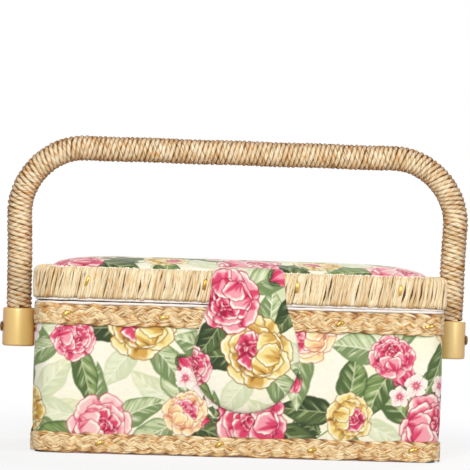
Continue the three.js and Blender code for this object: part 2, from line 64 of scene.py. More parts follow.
FULL_TURN = 2.0 * math.pi
QUARTER_TURN = 0.5 * math.pi
Array = np.ndarray
Piece = bpy.types.Object
Socket = bpy.types.NodeSocket
Node = bpy.types.Node
NodeTree = bpy.types.NodeTree
Material = bpy.types.Material
Colour = tuple[int, int, int]
Pair = tuple[float, float]
Triple = tuple[float, float, float]
log = logging.getLogger("sewing_box")


# Numbers

def smooth(value: Array) -> Array:
    """A soft step: 0 below 0, 1 above 1 and a cubic ease between."""
    value = np.clip(value, 0.0, 1.0)
    return value * value * (3.0 - 2.0 * value)


def mixed(first: Any, second: Any, share: Array) -> Array:
    """The first colour where share is 0, the second where it is 1."""
    first, second = np.asarray(first, float), np.asarray(second, float)
    return first + (second - first) * np.asarray(share)[..., None]


def linear(srgb: Any) -> Array:
    """Colours from sRGB, 0 to 255, to the linear values that a shader takes."""
    share = np.clip(np.asarray(srgb, float) / 255.0, 0.0, 1.0)
    return np.where(share <= 0.04045, share / 12.92, ((share + 0.055) / 1.055) ** 2.4)


def rgba(srgb: Colour) -> tuple[float, float, float, float]:
    """One sRGB colour as a shader socket's value."""
    red, green, blue = linear(srgb)
    return (red, green, blue, 1.0)


def box_of(node: str) -> tuple[Array, Array]:
    """The lowest and highest corners of a CAD node, in mm."""
    low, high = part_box(node)
    return np.array(low) / MM, np.array(high) / MM


def ripples(across: Array, along: Array, pitch: float, seed: int) -> Array:
    """Soft cloth unevenness: the mean of sine waves in seeded directions, each about one pitch long.

    Args:
        across: Places across the cloth.
        along: Places along the cloth.
        pitch: About the length of a wave.
        seed: Seed of the waves' directions.

    Returns:
        Heights between -1 and 1.
    """
    draw, waves = np.random.default_rng(seed), 6
    heading, phase = draw.uniform(0.0, FULL_TURN, waves), draw.uniform(0.0, FULL_TURN, waves)
    turns = FULL_TURN / (pitch * draw.uniform(0.6, 1.6, waves))
    total = np.zeros(np.broadcast(across, along).shape)
    for angle, start, rate in zip(heading, phase, turns):
        total = total + np.sin(rate * (across * np.cos(angle) + along * np.sin(angle)) + start)
    return total / waves


def run_along(place: Array, height: Array) -> Array:
    """Distance along lines from their start, summed from point to point over the last axis."""
    step = np.hypot(np.diff(place, axis=-1), np.diff(height, axis=-1))
    return np.concatenate([np.zeros(step.shape[:-1] + (1,)), np.cumsum(step, axis=-1)], axis=-1)


def walked_over(place: Array, height: Array) -> Array:
    """Distance over a surface's ups and downs, along the last axis and from its middle."""
    run = run_along(place, height)
    return run - run[..., run.shape[-1] // 2, None]


# Meshes

def tubes(name: str, rings: Array, ring_road: bool = False, sharp: float = 50.0, **marks: Array) -> Piece:
    """Makes one piece of closed tubes through rings of points.

    Each tube is a row of rings, joined ring to ring and round each ring. Flat faces close its two ends, or
    its last ring joins its first. The sign of the volume tells whether the faces are turned outwards.

    Args:
        name: The piece's name.
        rings: Points in mm, shaped (tubes, rings, points, 3).
        ring_road: Whether each tube's last ring joins its first.
        sharp: Angle in degrees past which an edge stays sharp.
        **marks: One number or three for each point, kept as attributes of that name.

    Returns:
        The new object, at the origin.
    """
    count, length, around = rings.shape[:3]
    corner = np.arange(count * length * around).reshape(count, length, around)
    ahead = np.roll(corner, -1, axis=1)
    quads = np.stack([corner, ahead, np.roll(ahead, -1, axis=2), np.roll(corner, -1, axis=2)], axis=-1)
    ends = np.empty((0, around), int)
    if not ring_road:
        quads = quads[:, :-1]
        ends = np.concatenate([corner[:, 0], corner[:, -1, ::-1]])
    quads = quads.reshape(-1, 4)
    points = rings.reshape(-1, 3) * MM

    triangles = [quads[:, [0, 1, 2]], quads[:, [0, 2, 3]]]
    if len(ends):
        fan = np.stack([np.repeat(ends[:, :1], around - 2, axis=1), ends[:, 1:-1], ends[:, 2:]], axis=-1)
        triangles.append(fan.reshape(-1, 3))
    a, b, c = points[np.concatenate(triangles)].transpose(1, 0, 2)
    if np.sum(a * np.cross(b, c)) < 0.0:
        quads, ends = quads[:, ::-1], ends[:, ::-1]

    mesh = bpy.data.meshes.new(name)
    mesh.vertices.add(len(points))
    mesh.vertices.foreach_set("co", points.astype(np.float32).ravel())
    mesh.loops.add(quads.size + ends.size)
    mesh.loops.foreach_set("vertex_index", np.concatenate([quads.ravel(), ends.ravel()]).astype(np.int32))
    mesh.polygons.add(len(quads) + len(ends))
    starts = np.concatenate([4 * np.arange(len(quads)), quads.size + around * np.arange(len(ends))])
    mesh.polygons.foreach_set("loop_start", starts.astype(np.int32))
    mesh.update(calc_edges=True)
    mesh.validate()
    mesh.shade_smooth()
    mesh.set_sharp_from_angle(angle=math.radians(sharp))
    for mark, values in marks.items():
        triple = values.shape[-1] == 3 and values.ndim > 3
        kind, field = ("FLOAT_VECTOR", "vector") if triple else ("FLOAT", "value")
        spread = np.broadcast_to(values, rings.shape if triple else rings.shape[:3])
        mesh.attributes.new(mark, kind, "POINT").data.foreach_set(field, spread.astype(np.float32).ravel())
    piece = bpy.data.objects.new(name, mesh)
    bpy.context.scene.collection.objects.link(piece)
    return piece


def panel(along: Array, half: Array, columns: int) -> tuple[Array, Array, Array]:
    """Lays out a padded panel as rings: its face from edge to edge, then two points on its back.

    Args:
        along: Place of each ring along the panel.
        half: Half width of the panel at each ring.
        columns: Points across its face.

    Returns:
        Across and along coordinates in mm, shaped (rings, columns + 2), and the same points' share of the
        half width, from -1 to 1. The last two columns are the back's.
    """
    share = np.concatenate([np.linspace(-1.0, 1.0, columns), [0.985, -0.985]])
    across = share * half[:, None]
    return across, np.broadcast_to(along[:, None], across.shape), np.broadcast_to(share, across.shape)


def rounded_half(along: Array, reach: float, half: float, corner: float) -> Array:
    """Half width along a panel of that half length and half width, whose corners are quarter circles."""
    past = np.clip(np.abs(along) - (reach - corner), 0.0, corner)
    return half - corner + np.sqrt(np.maximum(corner ** 2 - past ** 2, 0.01))


@dataclass(frozen=True)
class Quilting:
    """How a lining pad is stuffed and sewn."""

    puff: float = 0.5  # how far its face swells
    channel: float = 27.0  # about how far apart its seams are
    seam_half: float = 1.6  # half width of a seam's valley
    sunk: float = 0.45  # how far its edges lie below the face of its box
    spacing: float = 1.5  # distance between its points

    def rings(self, low: Array, high: Array, axis: int, side: int) -> Array:
        """A sewn pad in a box: its face swells as (1 - |u|^8)(1 - |v|^8), with channels sewn across it.

        Args:
            low: Lowest corner.
            high: Highest corner.
            axis: The axis that the pad is thin along.
            side: Which way its face looks along that axis, 1 or -1.

        Returns:
            Rings of points, shaped (1, rings, points, 3).
        """
        run, rise = [number for number in range(3) if number != axis]
        if high[run] - low[run] < high[rise] - low[rise]:
            run, rise = rise, run
        length, breadth = high[run] - low[run], high[rise] - low[rise]
        along = np.linspace(-0.5, 0.5, max(60, round(length / self.spacing))) * length
        columns = max(24, round(breadth / self.spacing))
        across, along, share = panel(along, np.full(along.shape, 0.5 * breadth), columns)
        seams = round(length / self.channel)
        fold = np.abs(np.mod(along / length * seams + 0.5 * seams + 0.5, 1.0) - 0.5) * length / seams
        sewn = 1.0 - 0.9 * np.exp(-((fold / self.seam_half) ** 2))
        swell = (1.0 - np.abs(2.0 * along / length) ** 8) * (1.0 - np.abs(share) ** 8)
        face, back = (high[axis], low[axis]) if side > 0 else (low[axis], high[axis])
        height = face + side * (self.puff * swell * sewn - self.sunk)
        height = height + side * 0.1 * swell * ripples(along, across, 16.0, axis + 3)
        height[:, -2:] = back
        points = np.empty(across.shape + (3,))
        points[..., run] = along + 0.5 * (low[run] + high[run])
        points[..., rise] = across + 0.5 * (low[rise] + high[rise])
        points[..., axis] = height
        return points[None]


@dataclass(frozen=True)
class Course:
    """A walk round a rounded rectangle, from the middle of the left end along the front and back again."""

    half_x: float  # half the rectangle's width
    half_y: float  # half its depth
    radius: float  # radius of its corners

    def line(self) -> tuple[Array, Array, Array, Array]:
        """The walk as a fine polyline.

        Returns:
            Distance walked, x, y and the angle that outwards points to, unwound.
        """
        quarter = np.linspace(0.0, QUARTER_TURN, 25)
        start = math.pi + QUARTER_TURN * np.arange(4)
        angle = (start[:, None] + quarter).ravel()
        side = np.array([[-1, -1], [1, -1], [1, 1], [-1, 1]]).repeat(25, axis=0)
        x = side[:, 0] * (self.half_x - self.radius) + self.radius * np.cos(angle)
        y = side[:, 1] * (self.half_y - self.radius) + self.radius * np.sin(angle)
        x, y = np.r_[-self.half_x, x, -self.half_x], np.r_[0.0, y, 0.0]
        angle = np.r_[math.pi, angle, 3.0 * math.pi]
        return run_along(x, y), x, y, angle

    @property
    def length(self) -> float:
        """The whole way round."""
        return float(self.line()[0][-1])

    def place(self, walked: Array, out: Array, height: Array) -> Array:
        """Points beside the walk.

        Args:
            walked: Distance walked.
            out: Distance outwards from the walk.
            height: Height.

        Returns:
            Points in mm, three numbers each.
        """
        known, x, y, angle = self.line()
        walked, out, height = np.broadcast_arrays(np.mod(walked, known[-1]), out, height)
        heading = np.interp(walked, known, angle)
        px = np.interp(walked, known, x) + out * np.cos(heading)
        py = np.interp(walked, known, y) + out * np.sin(heading)
        return np.stack([px, py, height], axis=-1)

    def flatness(self, walked: Array) -> Array:
        """1 along the straight sides, falling to 0 in the middle of each corner."""
        known, _, _, angle = self.line()
        return np.abs(np.cos(2.0 * np.interp(np.mod(walked, known[-1]), known, angle)))

    def band(self, out: Array, height: Array, wave: Pair) -> Array:
        """A section carried round the walk in 420 rings, with waves of a height and a length."""
        walked = np.linspace(0.0, self.length, 420, endpoint=False)[:, None]
        return self.place(walked, out, height + wave[0] * np.sin(FULL_TURN * walked / wave[1]))[None]


# Cloth print

class Bloom(Enum):
    """Petal colours of the print's roses, as (crease, body, edge, lip) in sRGB."""

    ROSE = ((166, 24, 62), (222, 70, 108), (247, 164, 176), (255, 243, 228))
    BLUSH = ((198, 50, 88), (238, 130, 150), (252, 202, 200), (255, 246, 230))
    GOLD = ((140, 94, 32), (216, 168, 82), (248, 226, 148), (255, 248, 216))
    PEACH = ((196, 104, 84), (242, 186, 140), (253, 230, 172), (255, 248, 220))
    WHITE = ((226, 130, 150), (250, 220, 214), (255, 242, 230), (255, 252, 240))


class Foliage(Enum):
    """Leaf colours of the print, as (shade, body, vein) in sRGB."""

    DARK = ((52, 66, 38), (92, 110, 64), (186, 198, 146))
    MID = ((80, 102, 56), (136, 158, 96), (228, 233, 188))
    SAGE = ((122, 144, 92), (206, 216, 170), (250, 250, 224))
    GHOST = ((216, 223, 184), (234, 237, 204), (249, 249, 226))


class PrintedTile:
    """One repeat of the cloth's print, painted motif by motif and read back anywhere on the cloth."""

    GROUND = (253, 249, 230)
    EYE = (206, 58, 110)
    STAMEN = (240, 214, 120)
    HALO = (250, 236, 172)

    def __init__(self, width: float = 219.0, height: float = 112.0, fineness: int = 7, seed: int = 5) -> None:
        """Paints the repeat.

        Args:
            width: Width of the repeat in mm.
            height: Height of the repeat in mm.
            fineness: Pixels for each mm.
            seed: Seed of the hand-drawn unevenness.
        """
        self.size = np.array([width, height])
        self.fineness = fineness
        self.draw = np.random.default_rng(seed)
        shape = (int(height * fineness), int(width * fineness), 1)
        self.pixels = np.tile(np.array(self.GROUND, float), shape)
        self.compose()

    def window(self, centre: Array, reach: float, direction: Any = (1.0, 0.0)) -> tuple[Any, Array, Array]:
        """The repeat's pixels near a place.

        Args:
            centre: Place in mm.
            reach: Half the window's side.
            direction: Unit vector that the offsets are measured along.

        Returns:
            The pixels' index, wrapped round the repeat's edges, and their offsets from the place in mm, along
            the direction and across it.
        """
        low = np.floor((np.asarray(centre) - reach) * self.fineness).astype(int)
        span = np.arange(int(2 * reach * self.fineness) + 1)
        columns, rows = low[0] + span, low[1] + span
        x = (columns[None, :] + 0.5) / self.fineness - centre[0]
        y = (rows[:, None] + 0.5) / self.fineness - centre[1]
        height, width = self.pixels.shape[:2]
        along, across = x * direction[0] + y * direction[1], y * direction[0] - x * direction[1]
        return np.ix_(rows % height, columns % width), along, across

    @staticmethod
    def pointing(heading: float) -> Array:
        """The unit vector of a direction."""
        return np.array([np.cos(heading), np.sin(heading)])

    def around(self, centre: Array, heading: float, reach: float) -> Array:
        """A place by direction and distance from another."""
        return centre + reach * self.pointing(heading)

    def lay(self, place: Any, cover: Array, colour: Any) -> None:
        """Lays a colour over the pixels, as thick as cover says."""
        under = self.pixels[place]
        self.pixels[place] = under + cover[..., None] * (np.asarray(colour, float) - under)

    def streaks(self, across: Array, fineness: float) -> Array:
        """Brush streaks: three sine waves of uneven pitch across the stroke.

        Args:
            across: Places across the stroke.
            fineness: How close the streaks lie.

        Returns:
            Tones between about -1 and 1.
        """
        pitch = fineness * np.array([1.0, 1.9, 3.7]) * self.draw.uniform(0.85, 1.15, 3)
        waves = np.sin(across[..., None] * pitch + self.draw.uniform(0.0, FULL_TURN, 3))
        return waves @ np.array([0.5, 0.32, 0.25])

    def petal(self, foot: Array, heading: float, length: float, width: float, bloom: Bloom,
              light: float = 0.0, lip: float = 0.75, shade: float = 0.55) -> None:
        """Paints a petal: an oval with a ruffled edge, deep at its foot, paler outwards, palest at its rim.

        Args:
            foot: Where the petal grows from.
            heading: Direction that it points to.
            length: From foot to rim.
            width: Across its widest place.
            bloom: Its colours.
            light: Added to its tone, from -1 to 1.
            lip: Strength of the pale rim.
            shade: Strength of the dark line round it.
        """
        direction = self.pointing(heading)
        middle = np.asarray(foot) + 0.52 * length * direction
        place, along, across = self.window(middle, 0.66 * max(length, width) + 0.6, direction)
        along, across = along / (0.5 * length), across / (0.5 * width)
        angle = np.arctan2(across, along)
        waves = np.sin(angle[..., None] * np.array([2, 3, 5, 11]) + self.draw.uniform(0.0, FULL_TURN, 4))
        depth = np.hypot(along, across) / (1.0 + waves @ np.array([0.05, 0.07, 0.055, 0.03]))
        crease, body, edge, pale = bloom.value
        self.lay(place, shade * smooth((1.13 - depth) / 0.12), crease)
        fan = self.streaks(across / (1.5 + along), 4.6)
        tone = 0.5 + 0.5 * along + 0.5 * fan + light
        colour = mixed(mixed(crease, body, smooth(3.2 * tone - 0.2)), edge, smooth(3.2 * tone - 1.9))
        rim = smooth((depth - 0.66) / 0.2) * smooth(0.8 + along) * (0.8 + 0.9 * fan)
        colour = mixed(colour, pale, np.clip(lip * rim, 0.0, 1.0))
        self.lay(place, smooth((1.0 - depth) / 0.06 + 0.5), colour)

    def rose(self, centre: Array, radius: float, tilt: float, bloom: Bloom, heart: Bloom) -> None:
        """Paints a cabbage rose seen half from above: rows of broad petals, a furled heart, a cup before it.

        Args:
            centre: Middle of the rose.
            radius: Reach of its outer petals.
            tilt: Direction that it leans to, where its cup shows.
            bloom: Colours of its petals.
            heart: Colours of its heart.
        """
        front = self.pointing(tilt)
        for count, far, size, light in ((7, 0.64, 0.6, 0.2), (6, 0.44, 0.54, 0.0), (5, 0.28, 0.44, -0.2)):
            turn = self.draw.uniform(0.0, FULL_TURN)
            middle = centre - 0.3 * (1.0 - far) * radius * front
            for number in range(count):
                heading = turn + FULL_TURN * number / count + self.draw.uniform(-0.25, 0.25)
                length = radius * size * self.draw.uniform(0.88, 1.15)
                foot = self.around(middle, heading, (far - 0.5 * size) * radius)
                tone = light + self.draw.uniform(-0.3, 0.3)
                inks = bloom if far > 0.3 else heart
                self.petal(foot, heading, length, 1.4 * length, inks, tone, 0.95, 0.85)
        back = centre - 0.2 * radius * front
        for number in range(6):
            length = radius * (0.42 - 0.045 * number)
            heading = tilt + 2.4 + 1.9 * number
            foot = self.around(back, heading, -0.12 * radius)
            self.petal(foot, heading, length, 1.1 * length, heart, 0.08 * number - 0.45, 0.7, 0.8)
        for side in (-0.75, 0.75, 0.0):
            foot = self.around(back, tilt + side, 0.74 * radius)
            heading = tilt + side + math.pi
            self.petal(foot, heading, 0.6 * radius, 0.66 * radius, bloom, 0.4, 1.2, 0.9)

    def leaf(self, foot: Array, heading: float, length: float, width: float, foliage: Foliage,
             bend: float) -> None:
        """Paints a leaf: a pointed, toothed oval along a bent midrib, one half darker, with wedge veins.

        Args:
            foot: Where the leaf grows from.
            heading: Direction that it points to.
            length: From foot to tip.
            width: Across its widest place.
            foliage: Its colours.
            bend: Bow of the midrib, as a share of the length.
        """
        direction = self.pointing(heading)
        middle = np.asarray(foot) + 0.5 * length * direction
        place, along, across = self.window(middle, 0.62 * length + 0.5, direction)
        along = along / length + 0.5
        across = across - bend * length * along * (1.0 - along)
        inside = np.clip(along, 0.0, 1.0)
        half = 0.5 * width * np.sin(np.pi * inside ** 0.72) ** 0.8
        teeth = 1.0 - 0.03 * np.mod(5.0 * inside + 0.35, 1.0) + 0.05 * np.sin(14.0 * inside + 9.0 * bend)
        edge = np.abs(across) / np.maximum(half * teeth, 1e-3)
        shade, body, vein = foliage.value
        slant = np.abs(across) / width
        fan = self.streaks(4.0 * along - 3.0 * slant + 0.4 * np.sign(across), 4.0)
        tone = 0.5 + 0.4 * np.sign(across * bend) + 0.55 * fan - 0.35 * smooth((edge - 0.6) / 0.4)
        colour = mixed(shade, body, smooth(tone))
        ribs = np.mod(4.6 * inside - 2.6 * slant + 0.25 * fan, 1.0)
        wedge = smooth((0.42 - ribs) / 0.2) * smooth((0.86 - edge) / 0.5) * smooth(ribs / 0.08)
        colour = mixed(colour, vein, (0.55 + 0.3 * fan) * wedge)
        lines = smooth((0.07 - np.abs(ribs - 0.5)) / 0.05) * smooth((0.95 - edge) / 0.4)
        colour = mixed(colour, shade, 0.85 * np.maximum(lines, smooth((edge - 0.84) / 0.12)))
        colour = mixed(colour, vein, 0.75 * smooth((0.035 * width - np.abs(across)) / (0.03 * width)))
        cover = smooth((1.0 - edge) / 0.1 + 0.5) * (along > 0.0) * (along < 1.0)
        self.lay(place, cover, colour)

    def stem(self, start: Array, end: Array, bow: float, thick: float) -> None:
        """Paints a bowed stem between two places.

        Args:
            start: Its lower end.
            end: Its upper end.
            bow: Its rise, as a share of its length.
            thick: Half its thickness.
        """
        reach = np.linalg.norm(end - start)
        direction = (end - start) / reach
        place, along, across = self.window(0.5 * (start + end), 0.6 * reach + 0.5, direction)
        along = along / reach + 0.5
        across = across - 4.0 * bow * reach * along * (1.0 - along)
        cover = smooth((thick - np.abs(across)) / 0.25 + 0.5) * (along > 0.0) * (along < 1.0)
        self.lay(place, cover, Foliage.MID.value[1])

    def spray(self, foot: Array, heading: float, reach: float, foliage: Foliage) -> None:
        """Paints a twig with leaves on both sides and one at its tip.

        Args:
            foot: Where the twig starts.
            heading: Direction that it points to.
            reach: Its length.
            foliage: The leaves' colours.
        """
        tip = self.around(foot, heading, reach)
        self.stem(foot, tip, 0.06, 0.35)
        for number in range(4):
            spot = self.around(foot, heading, reach * (0.25 + 0.2 * number))
            side = 0.85 if number % 2 else -0.85
            length = reach * self.draw.uniform(0.6, 0.8)
            self.leaf(spot, heading + side, length, 0.5 * length, foliage, 0.25 * side)
        self.leaf(tip, heading, 0.8 * reach, 0.42 * reach, foliage, 0.15)

    def bud(self, foot: Array, heading: float, length: float, bloom: Bloom) -> None:
        """Paints a closed bud on its stem: three furled petals between long and short sepals.

        Args:
            foot: Where its petals grow from.
            heading: Direction that it points to.
            length: Length of its petals.
            bloom: Its colours.
        """
        direction = self.pointing(heading)
        self.stem(foot - 0.9 * length * direction, foot + 0.1 * length * direction, 0.12, 0.3)
        base = foot - 0.1 * length * direction
        for side in (-1.0, 1.0):
            self.leaf(base, heading + 0.5 * side, 0.95 * length, 0.3 * length, Foliage.MID, 0.2 * side)
        for side, light in ((-0.32, -0.25), (0.32, -0.05), (0.0, 0.15)):
            self.petal(foot, heading + side, length, 0.55 * length, bloom, light, 0.4)
        for side in (-1.0, 1.0):
            self.leaf(base, heading + 0.62 * side, 0.6 * length, 0.2 * length, Foliage.DARK, 0.3 * side)

    def blossom(self, centre: Array, radius: float) -> None:
        """Paints a small open blossom: five white petals flushed with pink round a magenta eye.

        Args:
            centre: Its middle.
            radius: Reach of its petals.
        """
        turn = self.draw.uniform(0.0, FULL_TURN)
        for number in range(5):
            heading = turn + FULL_TURN * number / 5
            self.petal(centre, heading, radius, 0.95 * radius, Bloom.WHITE, 0.3, 1.0, 0.3)
        place, x, y = self.window(centre, 0.6 * radius)
        far = np.hypot(x, y) / radius
        spokes = 0.5 + 0.5 * np.cos(9.0 * np.arctan2(y, x) + turn)
        self.lay(place, 0.8 * smooth((0.3 + 0.2 * spokes - far) / 0.14), self.EYE)
        self.lay(place, smooth((0.13 - far) / 0.08), self.STAMEN)

    def halo(self, centre: Array, radius: float, strength: float) -> None:
        """Paints a soft pale-yellow patch with a wavering edge on the ground.

        Args:
            centre: Its middle.
            radius: Its reach.
            strength: How thick its colour lies.
        """
        place, x, y = self.window(centre, 1.2 * radius)
        waver = 1.0 + 0.2 * np.sin(3.0 * np.arctan2(y, x) + self.draw.uniform(0.0, FULL_TURN))
        self.lay(place, strength * smooth(1.25 - np.hypot(x, y) / (radius * waver)), self.HALO)

    def compose(self) -> None:
        """Sets out the motifs: roses in staggered rows, leaves fanned behind them and sprays in the gaps."""
        draw = self.draw
        rows, columns = 3, 6
        step = self.size / np.array([columns, rows])
        spots = []
        for row in range(rows):
            for column in range(columns):
                cell = np.array([column + 0.5 * (row % 2), row + 0.25 * ((column + row) % 2)])
                radius = (16.2, 11.2, 14.6, 10.4)[(column + 2 * row) % 4]
                spots.append(((cell + 0.5) * step + draw.uniform(-3.5, 3.5, 2), radius))
        for place, radius in spots:
            self.halo(place + draw.uniform(-4.0, 4.0, 2), 1.5 * radius, 0.25)
            for _ in range(2):
                heading = draw.uniform(0.0, FULL_TURN)
                foot = self.around(place, heading, 0.75 * radius)
                lean, bend = heading + draw.uniform(-0.5, 0.5), draw.uniform(-0.25, 0.25)
                self.leaf(foot, lean, draw.uniform(20, 28), draw.uniform(10, 13), Foliage.GHOST, bend)
        kinds = (Foliage.DARK, Foliage.SAGE, Foliage.MID, Foliage.SAGE, Foliage.SAGE)
        for index, (place, radius) in enumerate(spots[1::2]):
            heading = draw.uniform(0.0, FULL_TURN)
            foot = self.around(place, heading, 0.9 * radius)
            self.spray(foot, heading + draw.uniform(-0.4, 0.4), draw.uniform(14, 18), kinds[(index + 1) % 3])
        for index, (place, radius) in enumerate(spots):
            turn = draw.uniform(0.0, FULL_TURN)
            for number in range(3):
                heading = turn + FULL_TURN * number / 3 + draw.uniform(-0.5, 0.5)
                foot = self.around(place, heading, 0.6 * radius)
                lean, bend = heading + draw.uniform(-0.4, 0.4), draw.uniform(-0.35, 0.35)
                kind = kinds[(number + index) % len(kinds)]
                self.leaf(foot, lean, draw.uniform(19, 28), draw.uniform(11, 15.5), kind, bend)
        for place, radius in spots[::2]:
            heading = draw.uniform(0.0, FULL_TURN)
            bloom = Bloom.ROSE if draw.random() < 0.7 else Bloom.PEACH
            self.bud(self.around(place, heading, radius + 5.0), heading, draw.uniform(8.0, 11.5), bloom)
        for place, radius in spots[::3]:
            heading = draw.uniform(0.0, FULL_TURN)
            for number in range(3):
                spot = self.around(place, heading + 0.5 * number, radius + 5.5)
                self.blossom(spot + draw.uniform(-1.0, 1.0, 2), draw.uniform(4.8, 6.4))
        pairs = ((Bloom.ROSE, Bloom.ROSE), (Bloom.GOLD, Bloom.ROSE), (Bloom.BLUSH, Bloom.ROSE),
                 (Bloom.PEACH, Bloom.BLUSH))
        for index, (place, radius) in enumerate(spots):
            bloom, heart = pairs[(index + index // columns) % len(pairs)]
            self.rose(place, radius, draw.uniform(0.0, FULL_TURN), bloom, heart)

    def colour_at(self, across: Array, along: Array) -> Array:
        """The print's linear colour at places on the cloth, blended between neighbouring pixels.

        Args:
            across: Places across the cloth in mm.
            along: Places up the cloth in mm.

        Returns:
            Colours with three numbers for each place.
        """
        height, width = self.pixels.shape[:2]
        column, row = across * self.fineness - 0.5, along * self.fineness - 0.5
        left, low = np.floor(column).astype(int), np.floor(row).astype(int)
        right, high = (left + 1) % width, (low + 1) % height
        left, low = left % width, low % height
        lower = mixed(self.pixels[low, left], self.pixels[low, right], np.mod(column, 1.0))
        upper = mixed(self.pixels[high, left], self.pixels[high, right], np.mod(column, 1.0))
        return linear(mixed(lower, upper, np.mod(row, 1.0)))


# Finishes

@dataclass
class NodeBench:
    """Places shader nodes in one tree and joins them."""

    tree: NodeTree

    def put(self, kind: str, sockets: dict[Any, Any] | None = None, **settings: Any) -> Node:
        """Adds a node.

        Args:
            kind: The node's type, without its ShaderNode prefix.
            sockets: Values or other nodes' outputs for its inputs, by name or number.
            **settings: Properties of the node.

        Returns:
            The node.
        """
        node = self.tree.nodes.new("ShaderNode" + kind)
        for name, value in settings.items():
            setattr(node, name, value)
        for key, value in (sockets or {}).items():
            if isinstance(value, Socket):
                self.tree.links.new(value, node.inputs[key])
            else:
                node.inputs[key].default_value = value
        return node

    def sum_of(self, operation: str, first: Any, second: Any) -> Socket:
        """A Math node's result for two values."""
        return self.put("Math", {0: first, 1: second}, operation=operation).outputs[0]

    def ramp(self, share: Socket, stops: Sequence[tuple[float, Colour]]) -> Socket:
        """A colour ramp's result.

        Args:
            share: What places a point on the ramp.
            stops: Places and their sRGB colours.

        Returns:
            The colour's socket.
        """
        node = self.put("ValToRGB", {"Fac": share})
        for number, (place, colour) in enumerate(stops):
            elements = node.color_ramp.elements
            element = elements[number] if number < 2 else elements.new(place)
            element.position, element.color = place, rgba(colour)
        return node.outputs["Color"]

    def noise(self, place: Socket, scale: Any, **sockets: float) -> Socket:
        """A noise texture's value at a place."""
        return self.put("TexNoise", {"Vector": place, "Scale": scale, **sockets}).outputs[0]

    def tint(self, share: Any, first: Any, second: Any, blend: str = "MIX") -> Socket:
        """A colour Mix node's result."""
        sockets = {0: share, 6: first, 7: second}
        return self.put("Mix", sockets, data_type="RGBA", blend_type=blend).outputs[2]


class EffectKind(Enum):
    """Effects that several finishes share."""

    WEAVE = "thread weave"
    FIBRE = "fibre grain"
    WEAR = "handling wear"


class Effects:
    """The shared shader node groups, each built once."""

    def __init__(self) -> None:
        """Builds every group."""
        self.trees = {
            EffectKind.WEAVE: self.weave(),
            EffectKind.FIBRE: self.fibre(),
            EffectKind.WEAR: self.wear(),
        }

    def put(self, bench: NodeBench, kind: EffectKind, sockets: dict[Any, Any]) -> Node:
        """Places a group in a material with its own values."""
        return bench.put("Group", sockets, node_tree=self.trees[kind])

    @staticmethod
    def begin(kind: EffectKind, inputs: dict[str, str], outputs: list[str]) -> tuple[NodeBench, Node, Node]:
        """Starts a group.

        Args:
            kind: Which effect it is.
            inputs: Names of its inputs and their socket types.
            outputs: Names of its outputs, all numbers.

        Returns:
            A bench in the group, its input node and its output node.
        """
        tree = bpy.data.node_groups.new(kind.value, "ShaderNodeTree")
        for name, socket in inputs.items():
            tree.interface.new_socket(name, in_out="INPUT", socket_type="NodeSocket" + socket)
        for name in outputs:
            tree.interface.new_socket(name, in_out="OUTPUT", socket_type="NodeSocketFloat")
        return NodeBench(tree), tree.nodes.new("NodeGroupInput"), tree.nodes.new("NodeGroupOutput")

    @classmethod
    def weave(cls) -> NodeTree:
        """A plain weave: the product of two sine waves across and along the cloth, with slubs in its threads.

        Returns:
            The group, which puts out Height and Slub.
        """
        bench, given, out = cls.begin(EffectKind.WEAVE, {"Cloth": "Vector", "Threads": "Float"},
                                      ["Height", "Slub"])
        scaled = bench.put("VectorMath", {0: given.outputs["Cloth"], "Scale": given.outputs["Threads"]},
                           operation="SCALE").outputs[0]
        parts = bench.put("SeparateXYZ", {0: scaled})
        waves = [bench.put("Math", {0: bench.sum_of("MULTIPLY", parts.outputs[axis], FULL_TURN)},
                           operation="SINE").outputs[0] for axis in (0, 1)]
        crossing = bench.sum_of("MULTIPLY", waves[0], waves[1])
        slub = bench.noise(scaled, 0.35, Detail=3.0)
        height = bench.sum_of("ADD", bench.sum_of("MULTIPLY", crossing, 0.5), slub)
        bench.tree.links.new(height, out.inputs["Height"])
        bench.tree.links.new(slub, out.inputs["Slub"])
        return bench.tree

    @classmethod
    def fibre(cls) -> NodeTree:
        """Straw fibres: noise drawn out along the strand for the fibres, and slow noise for its patches.

        Returns:
            The group, which puts out Fibre, Patch and Height.
        """
        bench, given, out = cls.begin(EffectKind.FIBRE, {"Grain": "Vector", "Fineness": "Float"},
                                      ["Fibre", "Patch", "Height"])
        stretched = bench.put("VectorMath", {0: given.outputs["Grain"], 1: (0.07, 1.0, 1.0)},
                              operation="MULTIPLY").outputs[0]
        fineness = given.outputs["Fineness"]
        fine = bench.noise(stretched, fineness, Detail=4.0, Roughness=0.65)
        ridges = bench.noise(stretched, bench.sum_of("MULTIPLY", fineness, 1.9), Detail=1.0)
        patch = bench.noise(given.outputs["Grain"], 0.24, Detail=2.0)
        height = bench.sum_of("ADD", fine, bench.sum_of("MULTIPLY", ridges, 0.7))
        for name, socket in (("Fibre", fine), ("Patch", patch), ("Height", height)):
            bench.tree.links.new(socket, out.inputs[name])
        return bench.tree

    @classmethod
    def wear(cls) -> NodeTree:
        """Handling wear: broad smudges and short fine scratches, both from noise on Object coordinates.

        Returns:
            The group, which puts out Smudge and Scratch.
        """
        bench, given, out = cls.begin(EffectKind.WEAR, {"Place": "Vector", "Scale": "Float"},
                                      ["Smudge", "Scratch"])
        place, scale = given.outputs["Place"], given.outputs["Scale"]
        smudge = bench.noise(place, scale, Detail=4.0)
        drawn = bench.put("VectorMath", {0: place, 1: (1.0, 1.0, 0.12)}, operation="MULTIPLY").outputs[0]
        lines = bench.noise(drawn, bench.sum_of("MULTIPLY", scale, 14.0), Detail=2.0)
        bench.tree.links.new(smudge, out.inputs["Smudge"])
        bench.tree.links.new(lines, out.inputs["Scratch"])
        return bench.tree


